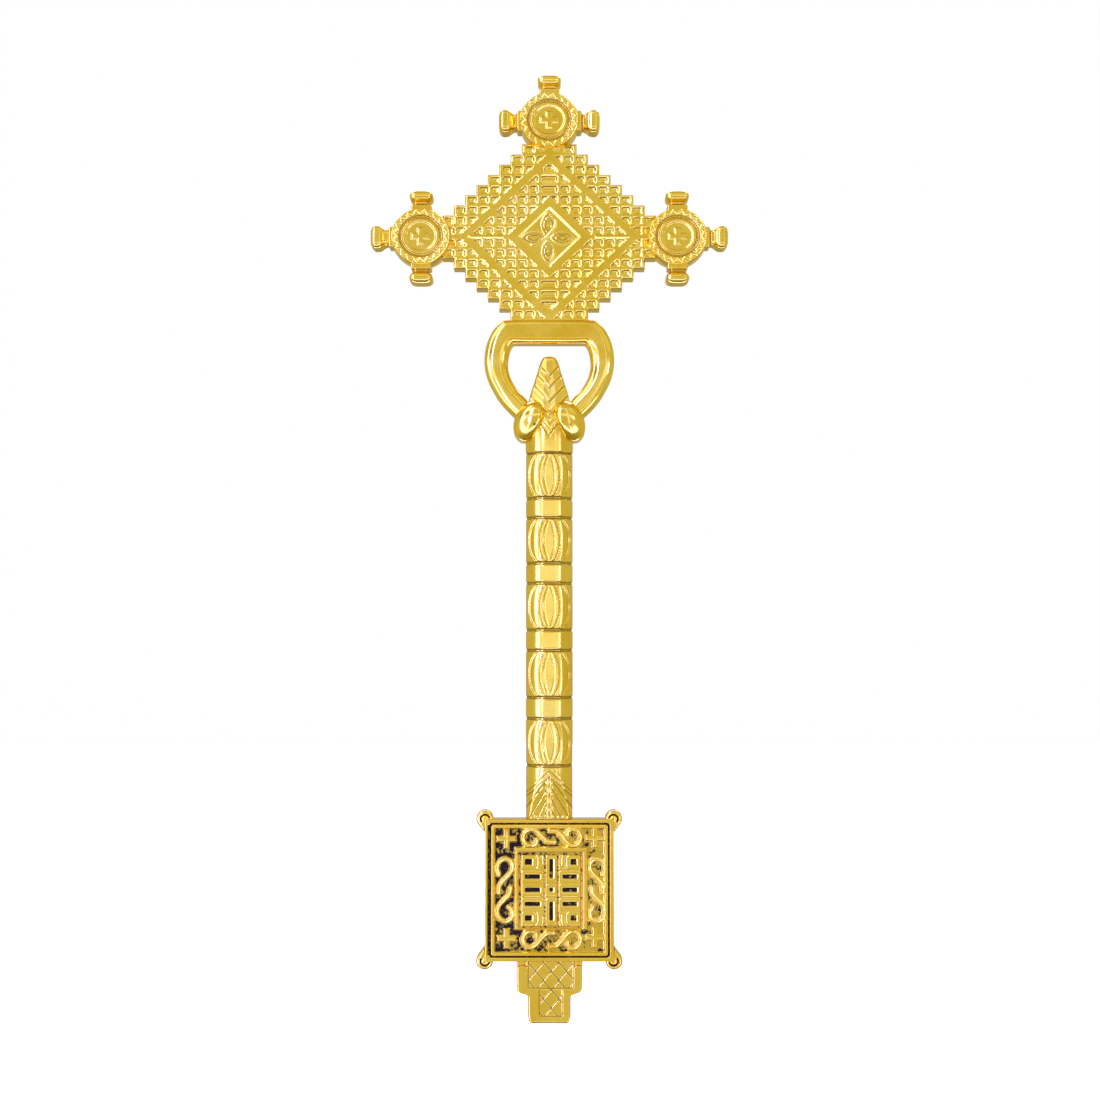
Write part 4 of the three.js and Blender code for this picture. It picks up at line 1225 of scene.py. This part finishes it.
def panel_parts(x, z):
    """Height over the sunk ground and how far a point lies in the sunk ground."""
    h = np.zeros(np.shape(x))
    # outer border, a rounded cord
    s = rrect(x - PAN_C[0], z - PAN_C[1], PAN_H[0], PAN_H[1], 0.9)
    h = np.maximum(h, 0.55 * sm((s + 1.62) / 0.56) - 0.42 * np.clip((s + 0.40) / 0.40, 0, 1) ** 2)
    # scrolls
    for pts in SCROLLS:
        x0, x1 = pts[:, 0].min() - 1.3, pts[:, 0].max() + 1.3
        z0, z1 = pts[:, 1].min() - 1.3, pts[:, 1].max() + 1.3
        m = (x > x0) & (x < x1) & (z > z0) & (z < z1)
        if m.any():
            d = polyline(x[m], z[m], pts)
            h[m] = np.maximum(h[m], ribbon(d, 1.08))
    # crosses
    for cx, cz in CROSSES:
        d = np.minimum(segment(x, z, (cx - 2.45, cz), (cx + 2.45, cz)), segment(x, z, (cx, cz - 2.5), (cx, cz + 2.5)))
        box = np.minimum(rrect(x - cx, z - cz, 3.55, 1.2, 0.25), rrect(x - cx, z - cz, 1.2, 3.6, 0.25))
        body = 0.52 * sm(-box / 0.60) - 0.06 * bump(d, 0.36) * (box < 0)
        h = np.maximum(h, body)
    # frame round the middle
    so = rrect(x - FRAME_OUT[0], z - FRAME_OUT[1], FRAME_OUT[2], FRAME_OUT[3], 0.35)
    si = rrect(x - FRAME_IN[0], z - FRAME_IN[1], FRAME_IN[2], FRAME_IN[3], 0.3)
    fr = 0.60 * sm(-so / 0.62) * sm(si / 0.60 + 0.10)
    h = np.where(so < 0, np.maximum(fr, 0.0), h)
    # labyrinth
    inner = si < 0
    lab = np.full(np.shape(x), 0.0)
    pit = np.full(np.shape(x), 9.0)
    for blk, pits in zip(BLOCKS, PITS):
        sb = rrect(x - blk[0], z - blk[1], blk[2], blk[3], 0.5)
        m = sb < 0
        s = np.full(np.shape(x), 9.0)
        for r in pits:
            s = np.minimum(s, rrect(x - r[0], z - r[1], r[2], r[3], 0.15))
        # ridges hug the pits and, where there is room, lie one behind the other
        w = s - 1.74 * np.floor(np.clip(s, 0, 8) / 1.74)
        cordh = 0.34 + 0.10 * sm((0.74 - np.abs(w - 0.87)) / 0.34)
        body = np.where(s > 0, cordh, 0.30)
        body = body * sm(-sb / 0.34)
        body = body - 0.36 * sm((0.02 - s) / 0.28)
        lab = np.where(m, body, lab)
        pit = np.where(m, np.minimum(pit, s), pit)
    h = np.where(inner, lab, h)
    ground = np.where(inner, np.maximum(0.74 * sm((0.10 - lab) / 0.10), sm((0.10 - pit) / 0.16)), sm((0.10 - h) / 0.09))
    return h, ground


def panel_height(x, z):
    return 3.36 + panel_parts(x, z)[0]


def panel_patina(x, z):
    h, g = panel_parts(x, z)
    # the dark ground is fullest at the left and in the middle, and fades towards the right and below
    u = (x + 20) / 40
    v = (z - 24) / 44
    ground_darkness = np.clip(0.71 - 0.24 * u - 0.05 * (1 - v) + 0.08 * np.sin(0.55 * x + 1.3) * np.sin(0.43 * z + 0.4), 0, 1)
    centre = (np.abs(x - FRAME_IN[0]) < FRAME_IN[2]) & (np.abs(z - FRAME_IN[1]) < FRAME_IN[3])
    ground_darkness = np.where(centre, np.clip(0.80 - 0.14 * u - 0.05 * (1 - v), 0, 1), ground_darkness)
    s = rrect(x - PAN_C[0], z - PAN_C[1], PAN_H[0], PAN_H[1], 0.9)
    edge = sm((s + 0.16) / 0.14)
    mid = np.where(centre, 0.50 * sm((0.40 - h) / 0.05), 0.16 * sm((0.32 - h) / 0.2)) * (h > 0.03)
    return np.maximum(np.maximum(g * ground_darkness, edge), mid * ground_darkness)


xs = np.linspace(*PAN_X, 206)
zs = np.linspace(*PAN_Z, 228)
for side, node in ((-1, "tablet_panel_front"), (1, "tablet_panel_back")):
    sh = Shell("look_" + node)
    slab(sh, xs, zs, panel_height, 2.4, side, 0.06, panel_patina)
    sh.build(node, RELIEF)

TAB_Z = (21.3 + 70.3) / 2


REC_X, REC_Z = (-21.45, 20.95), (22.62, 69.02)


def recess(x, z):
    """Distance in from the edge of the recess."""
    return -rrect(x - sum(REC_X) / 2, z - sum(REC_Z) / 2, (REC_X[1] - REC_X[0]) / 2, (REC_Z[1] - REC_Z[0]) / 2, 0.9)


def tablet_height(x, z):
    s = -rrect(x, z - TAB_Z, 22.45, 24.5, 0.02)      # distance in from the outside
    r = recess(x, z)
    h = 4.0 - 0.34 * np.clip(1 - s / 0.36, 0, 1) ** 2
    h -= 0.20 * np.clip((r + 0.24) / 0.24, 0, 1) ** 2 * (r < 0)
    h -= 1.66 * sm((r + 0.02) / 0.26) + 0.0
    return h


def tablet_patina(x, z):
    r = recess(x, z)
    return 0.62 * sm((r - 0.10) / 0.14)


sh = Shell("look_tablet_frame")
near = [0.06, 0.14, 0.24, 0.36]
xm = [-22.45, -21.5, -20.1, 20.1, 21.5, 22.45]
zm = [21.3, 22.6, 24.0, 67.9, 69.2, 70.3]
xs = np.array(sorted(set(np.round(np.concatenate([
    [-22.45 + q for q in near], [22.45 - q for q in near], np.linspace(-22.45, -20.0, 28), np.linspace(20.0, 22.45, 28),
    np.linspace(-20, 20, 90)]), 4)) | {-22.45, 22.45}))
zs = np.array(sorted(set(np.round(np.concatenate([
    [21.3 + q for q in near], [70.3 - q for q in near], np.linspace(21.3, 24.2, 32), np.linspace(67.7, 70.3, 29),
    np.linspace(24.2, 67.7, 98)]), 4)) | {21.3, 70.3}))
plaque(sh, xs, zs, tablet_height, tablet_height, lambda x, z: np.ones(np.shape(x), bool), e=0.04, pat=tablet_patina)
sh.build("tablet_frame", POLISHED)

# ---------------------------------------------------------------- corner lugs


def lug(node, sx, sz):
    """A rounded ear on a corner: an outer cord, a hooked cut and a small boss."""
    sh = Shell("look_" + node)
    cx, cz = sx * 22.45, TAB_Z + sz * 24.5
    t = np.linspace(0, 2 * math.pi, 120, endpoint=False)
    # in local axes the ear points to +x, +z; the tablet lies at -x, -z
    R0, A, B = 3.0, (-4.3, 0.0), (0.0, -5.0)
    pts = [(R0 * math.cos(a), R0 * math.sin(a)) for a in np.linspace(0, 2 * math.pi, 200, endpoint=False)]

    def reach(phi):
        dx, dz = math.cos(phi), math.sin(phi)
        best = R0
        for q in (A, B):
            # tangent line from q to the circle, on the outer side
            dist = math.hypot(*q)
            base_a = math.atan2(q[1], q[0])
            off = math.acos(R0 / dist)
            for sgn in (-1, 1):
                ta = base_a + sgn * off
                n = (math.cos(ta), math.sin(ta))
                # the outer tangent faces the ear's side
                if n[0] + n[1] < 0.15:
                    continue
                den = dx * n[0] + dz * n[1]
                if den > 1e-6:
                    r = R0 / den
                    px_, pz_ = r * dx, r * dz
                    # only between the touching point and q
                    seg = (q[0] - R0 * n[0], q[1] - R0 * n[1])
                    k = ((px_ - R0 * n[0]) * seg[0] + (pz_ - R0 * n[1]) * seg[1]) / (seg[0] ** 2 + seg[1] ** 2)
                    if 0 <= k <= 1:
                        best = max(best, r)
        return best

    R = np.array([reach(a) for a in t])
    rho = np.concatenate([np.linspace(0, 0.9, 30), [0.93, 0.955, 0.975, 0.99, 1.0]])

    def place(rh, a):
        rr = np.interp(np.mod(a, 2 * math.pi), np.append(t, 2 * math.pi), np.append(R, R[0]))
        r = rh * rr
        lx, lz = r * np.cos(a), r * np.sin(a)
        s = (1 - rh) * rr
        roll = 3.4 - 1.15 * (1 - np.sqrt(np.clip(1 - np.clip(1 - s / 1.15, 0, 1) ** 2, 0, 1)))
        # hooked cut, open towards the lower side
        hook = np.hypot(lx + 0.15, lz + 0.05)
        on = sm((np.cos(a - math.radians(62)) + 0.45) / 0.3)
        h = roll - 0.62 * bump(hook - 1.55, 0.42) * on + 0.18 * bump(hook - 0.75, 0.45)
        h = h - 0.22 * bump(hook, 0.4)
        # a fine line follows the cord
        h = h - 0.10 * bump(s - 0.98, 0.22) * on
        return lx, h, lz

    for side in (-1, 1):
        def f(rh, a):
            lx, h, lz = place(rh, a)
            return cx + sx * lx, side * h, cz + sz * lz
        U, V = np.meshgrid(rho, t, indexing="ij")
        P = np.stack(f(U, V), -1)
        du = np.stack(f(np.minimum(U + 0.012, 1.0), V), -1) - np.stack(f(np.maximum(U - 0.012, 0.0), V), -1)
        dv = np.stack(f(U, V + 0.02), -1) - np.stack(f(U, V - 0.02), -1)
        N = np.cross(du, dv)
        if (N[3:, :, 1] * side).sum() < 0:
            N = -N
        N[0] = (0, side, 0)
        lx, h, lz = place(U, V)
        pat = 0.75 * bump(np.hypot(lx + 0.15, lz + 0.05) - 1.55, 0.34) * sm((np.cos(V - math.radians(62)) + 0.45) / 0.3)
        sh.grid(P, N, pat, wrap_v=True)
        edge = P[-1]
        if side < 0:
            first = edge
    W = np.stack([first + (edge - first) * k for k in np.linspace(0, 1, 5)])
    tang = np.roll(first, -1, 0) - np.roll(first, 1, 0)
    n = unit(np.stack([tang[:, 2], 0 * tang[:, 0], -tang[:, 0]], -1))
    if (n * (first - first.mean(0))).sum() < 0:
        n = -n
    sh.grid(W, np.broadcast_to(n, W.shape), wrap_v=True)
    sh.build(node, POLISHED)


lug("corner_lug_top_left", -1, 1)
lug("corner_lug_top_right", 1, 1)
lug("corner_lug_bottom_left", -1, -1)
lug("corner_lug_bottom_right", 1, -1)

# ----------------------------------------------------------------------- foot
foot_w = curve([(0.0, 6.2), (0.35, 6.62), (0.9, 6.95), (1.7, 7.22), (2.8, 7.38), (5.0, 7.42), (8.2, 7.45), (9.2, 7.6), (9.75, 8.3),
                (10.1, 9.5), (10.55, 10.55), (11.1, 11.1), (11.9, 11.32), (14.0, 11.4), (21.2, 11.42)])
FX, FZ = 2.665, 3.14  # half pitch of the lozenges
FOOT_C = px(551.2, 990.2)


def foot_field(x, z):
    """Distance inward from the edge of the sunk field."""
    x = x - 0.55
    low = -rrect(x, z - 7.2, 4.25, 5.0, 0.5)
    up = np.minimum(np.minimum(8.05 - np.abs(x), z - 11.9), 24 - z)
    return np.maximum(low, up)


def foot_height(x, z):
    h = np.full(np.shape(x), 3.0)
    w = foot_w(z)
    e = np.minimum(w - np.abs(x), z)
    h = h - 0.55 * np.clip(1 - e / 0.75, 0, 1) ** 2
    f = foot_field(x, z)
    h = h - 0.50 * sm((f + 0.05) / 0.7)
    # raised double lines that cross
    p = (x - FOOT_C[0]) / FX + (z - FOOT_C[1]) / FZ
    q = (x - FOOT_C[0]) / FX - (z - FOOT_C[1]) / FZ
    k = 1 / math.hypot(1 / FX, 1 / FZ)
    dp = (p / 2 - np.round(p / 2)) * 2 * k
    dq = (q / 2 - np.round(q / 2)) * 2 * k
    near = np.minimum(np.abs(dp), np.abs(dq))
    pad = 0.085 * sm((near - 0.06) / 0.28)
    # a small peak under each crossing
    far = np.hypot(dp, dq)
    pad = pad + 0.11 * bump(near - 0.36, 0.28) * (dp < 0) * (dq > 0) * sm((1.25 - far) / 0.5)
    h = h + pad * sm((f - 0.30) / 0.45)
    # notched tops of the rails under the tablet
    for cx in (px(523.0, 964)[0], px(578.6, 964)[0]):
        h = h - 0.75 * sm((z - 19.6 + 0.32 * (x - cx) ** 2) / 0.6) * (np.abs(x - cx) < 1.7) * sm((1.65 - np.abs(x - cx)) / 0.35)
    return h


def foot_patina(x, z):
    f = foot_field(x, z)
    p = (x - FOOT_C[0]) / FX + (z - FOOT_C[1]) / FZ
    q = (x - FOOT_C[0]) / FX - (z - FOOT_C[1]) / FZ
    k = 1 / math.hypot(1 / FX, 1 / FZ)
    near = np.minimum(np.abs(p / 2 - np.round(p / 2)), np.abs(q / 2 - np.round(q / 2))) * 2 * k
    return np.maximum(0.28 * bump(f - 0.15, 0.3), 0.50 * bump(near - 0.06, 0.26) * sm((f - 0.2) / 0.3))


sh = Shell("look_foot")
us = np.concatenate([np.linspace(-1, -0.9, 7)[:-1], np.linspace(-0.9, 0.9, 108), np.linspace(0.9, 1, 7)[1:]])
zs = np.concatenate([np.linspace(0, 0.9, 8)[:-1], np.arange(0.9, 21.2, 0.18), [21.2]])
edges = []
for side in (-1, 1):
    def f(u, z):
        x = u * foot_w(z)
        return x, side * foot_height(x, z), z
    U, V = np.meshgrid(us, zs, indexing="ij")
    X = U * foot_w(V)
    H = foot_height(X, V)
    hx, hz = slope(foot_height, X, V, 0.05)
    P = np.stack([X, side * H, V], -1)
    N = np.stack([-hx, side * np.ones_like(H), -hz], -1)
    sh.grid(P, N, foot_patina(X, V))
    edges.append(P)
for col, s in ((0, -1), (-1, 1)):
    a, b = edges[0][col], edges[1][col]
    W = np.stack([a + (b - a) * t for t in np.linspace(0, 1, 5)])
    tz = np.gradient(a[:, 2])
    tx = np.gradient(a[:, 0])
    n = unit(np.stack([s * tz, 0 * tz, -s * tx], -1))
    sh.grid(W, np.broadcast_to(n, W.shape))
for row, nz in ((0, -1), (-1, 1)):
    a, b = edges[0][:, row], edges[1][:, row]
    W = np.stack([a + (b - a) * t for t in np.linspace(0, 1, 3)])
    sh.grid(W, np.broadcast_to(np.array([0, 0, nz], float), W.shape))
sh.build("foot", SATIN)

# ---------------------------------------------------------------------- stage
# a pale floor, lit so that it runs into the white backdrop
me = bpy.data.meshes.new("floor")
n = 24
fx = np.linspace(-1.6, 1.6, n + 1)
vv = [(x, y, 0.0) for x in fx for y in fx]
ff = [(i * (n + 1) + j, (i + 1) * (n + 1) + j, (i + 1) * (n + 1) + j + 1, i * (n + 1) + j + 1) for i in range(n) for j in range(n)]
me.from_pydata(vv, [], ff)
floor = bpy.data.objects.new("floor", me)
scene.collection.objects.link(floor)
mat = bpy.data.materials.new("floor_white")
mat.use_nodes = True
g = Nodes(mat.node_tree)
out = g.add("ShaderNodeOutputMaterial")
bsdf = g.add("ShaderNodeBsdfPrincipled")
bsdf.inputs["Roughness"].default_value = 0.85
bsdf.inputs["Specular IOR Level"].default_value = 0.0
co = g.add("ShaderNodeTexCoord").outputs["Object"]
g.put(bsdf.inputs["Base Color"], g.mixc(g.ramp(g.noise(co, 6.0), 0.3, 0.7), (0.93, 0.93, 0.93, 1), (0.96, 0.96, 0.96, 1)))
bsdf.inputs["Emission Color"].default_value = (1, 1, 1, 1)
bsdf.inputs["Emission Strength"].default_value = 0.62
g.t.links.new(bsdf.outputs[0], out.inputs[0])
me.materials.append(mat)
floor.visible_glossy = False

# ---------------------------------------------------------------------- world
# A studio round the piece: a large mid-tone card in front, a bright border round it,
# a pale level band, darker ground under it and soft walls to the sides. Camera rays see white.
world = bpy.data.worlds.new("studio")
scene.world = world
world.use_nodes = True
g = Nodes(world.node_tree)
vec = g.add("ShaderNodeTexCoord").outputs["Generated"]
sep = g.add("ShaderNodeSeparateXYZ")
g.put(sep.inputs[0], vec)
X, Y, Z = sep.outputs
DEG = 180 / math.pi
az = g.m("MULTIPLY", g.m("ARCTAN2", X, g.m("ABSOLUTE", Y)), DEG)
el = g.m("MULTIPLY", g.m("ARCSINE", Z), DEG)
frontal = g.m("LESS_THAN", Y, 0.0)


def band(v, a, b, soft):
    """1 between a and b with soft edges."""
    return g.m("MULTIPLY", g.ramp(v, a - soft / 2, a + soft / 2), g.ramp(v, b + soft / 2, b - soft / 2))


def box(a0, a1, e0, e1, soft):
    return g.m("MULTIPLY", band(az, a0, a1, soft), band(el, e0, e1, soft))


# walls: brighter beside the card, dimmer round the side, a little more above
wall = g.mix(g.ramp(az, -36, -80), 0.94, 0.70)
wall_r = g.mix(g.ramp(az, 30, 76), 0.72, 0.62)
v = g.mix(g.ramp(az, -10, 10), wall, wall_r)
v = g.mix(g.ramp(el, 46, 75), v, 0.58)
v = g.mix(g.ramp(el, -16, -62), v, 0.34)
# a shade beside the card, where the walls that face left look
v = g.mix(box(-92, -36, 12.5, 27, 3), v, 0.40)
v = g.mix(box(-34, 31, -64, -56, 3), v, 0.42)
# the ground under the card is dark
v = g.mix(box(-36, 34, -100, -62, 6), v, 0.30)
# bright border, strongest at the left and below, thin above and at the right
# (the arc runs from the left round below to the lower right, as far out as a 32 degree bevel looks)
arc = band(g.m("ADD", g.m("MULTIPLY", Y, -0.974), g.m("MULTIPLY", Z, 0.225)), 0.34, 0.53, 0.05)
arc = g.m("MULTIPLY", arc, g.ramp(g.m("MAXIMUM", g.m("MULTIPLY", X, -1.0), g.m("MULTIPLY", Z, -1.0)), 0.30, 0.42))
left = box(-34, -26, -56, 43, 2)
thin = box(-34, 30.5, -56, 44, 2)
v = g.mix(thin, v, 2.0)
v = g.mix(arc, v, 2.3)
v = g.mix(left, v, g.ramp(el, -28, -13, 1.8, 7.0))
# level pale band with bright ends
v = g.mix(box(-56, 55, -3.4, 7.0, 1.6), v, 3.6)
v = g.mix(box(-50, 50, -3.6, 7.2, 1.6), v, 1.12)
# the card itself
card = box(-26, 28, -46, 42, 2.5)
inner = g.mix(box(-50, 50, -3.6, 7.2, 1.6), 0.68, 1.12)
v = g.mix(card, v, inner)
# behind the piece an even warm wall, darker low down, and two soft strips high up and low down for the back
rear = g.mix(g.ramp(el, -8, -12), 0.56, 0.40)
rear = g.mix(g.ramp(g.m("ABSOLUTE", az), 34, 52), rear, 0.62)
rear = g.mix(box(-60, 60, 40, 56, 5), rear, 2.6)
rear = g.mix(box(-60, 60, -62, -46, 5), rear, 2.2)
rear = g.mix(g.ramp(el, -62, -75), rear, 0.20)
v = g.mix(frontal, rear, v)
blue = g.m("ADD", v, g.m("MULTIPLY", 7.5, g.m("MAXIMUM", g.m("SUBTRACT", v, 0.80), 0.0)))
green = g.m("MULTIPLY", v, g.ramp(v, 0.75, 1.15, 1.0, 1.12))
comb = g.add("ShaderNodeCombineColor")
g.put(comb.inputs[0], v)
g.put(comb.inputs[1], green)
g.put(comb.inputs[2], g.m("MINIMUM", blue, 130.0))
studio = g.add("ShaderNodeBackground")
g.put(studio.inputs[0], comb.outputs[0])
white = g.add("ShaderNodeBackground")
white.inputs[0].default_value = (1, 1, 1, 1)
white.inputs[1].default_value = 1.0
ray = g.add("ShaderNodeLightPath")
mixs = g.add("ShaderNodeMixShader")
g.put(mixs.inputs[0], ray.outputs["Is Camera Ray"])
g.t.links.new(studio.outputs[0], mixs.inputs[1])
g.t.links.new(white.outputs[0], mixs.inputs[2])
out = g.add("ShaderNodeOutputWorld")
g.t.links.new(mixs.outputs[0], out.inputs[0])


def softbox(name, loc, size, power):
    li = bpy.data.lights.new(name, "AREA")
    li.shape = "RECTANGLE"
    li.size, li.size_y = size
    li.energy = power
    li.color = (0.80, 0.90, 1.0)
    ob = bpy.data.objects.new(name, li)
    ob.location = loc
    d = np.array([0, 0, 0.17]) - np.array(loc)
    from mathutils import Vector
    ob.rotation_euler = Vector(d).to_track_quat("-Z", "Y").to_euler()
    scene.collection.objects.link(ob)
    return ob


softbox("key_left", (-0.95, -0.75, 1.15), (0.55, 0.55), 0.7)
softbox("fill_right", (1.05, -0.5, 0.95), (0.7, 0.7), 0.4)
softbox("back_soft", (0.25, 1.1, 1.0), (0.8, 0.6), 0.6)

# --------------------------------------------------------------------- camera
cam = bpy.data.cameras.new("camera")
cam.sensor_width = 36.0
cam.lens = 1714.3 / 1100 * 36.0
cam.clip_start, cam.clip_end = 0.01, 20.0
eye = bpy.data.objects.new("camera", cam)
eye.location = (0.00025, -0.6035, 0.13248)
eye.rotation_euler = (math.radians(90 + 3.005), 0, 0)
scene.collection.objects.link(eye)
scene.camera = eye
scene.view_settings.view_transform = "Standard"
scene.view_settings.look = "None"
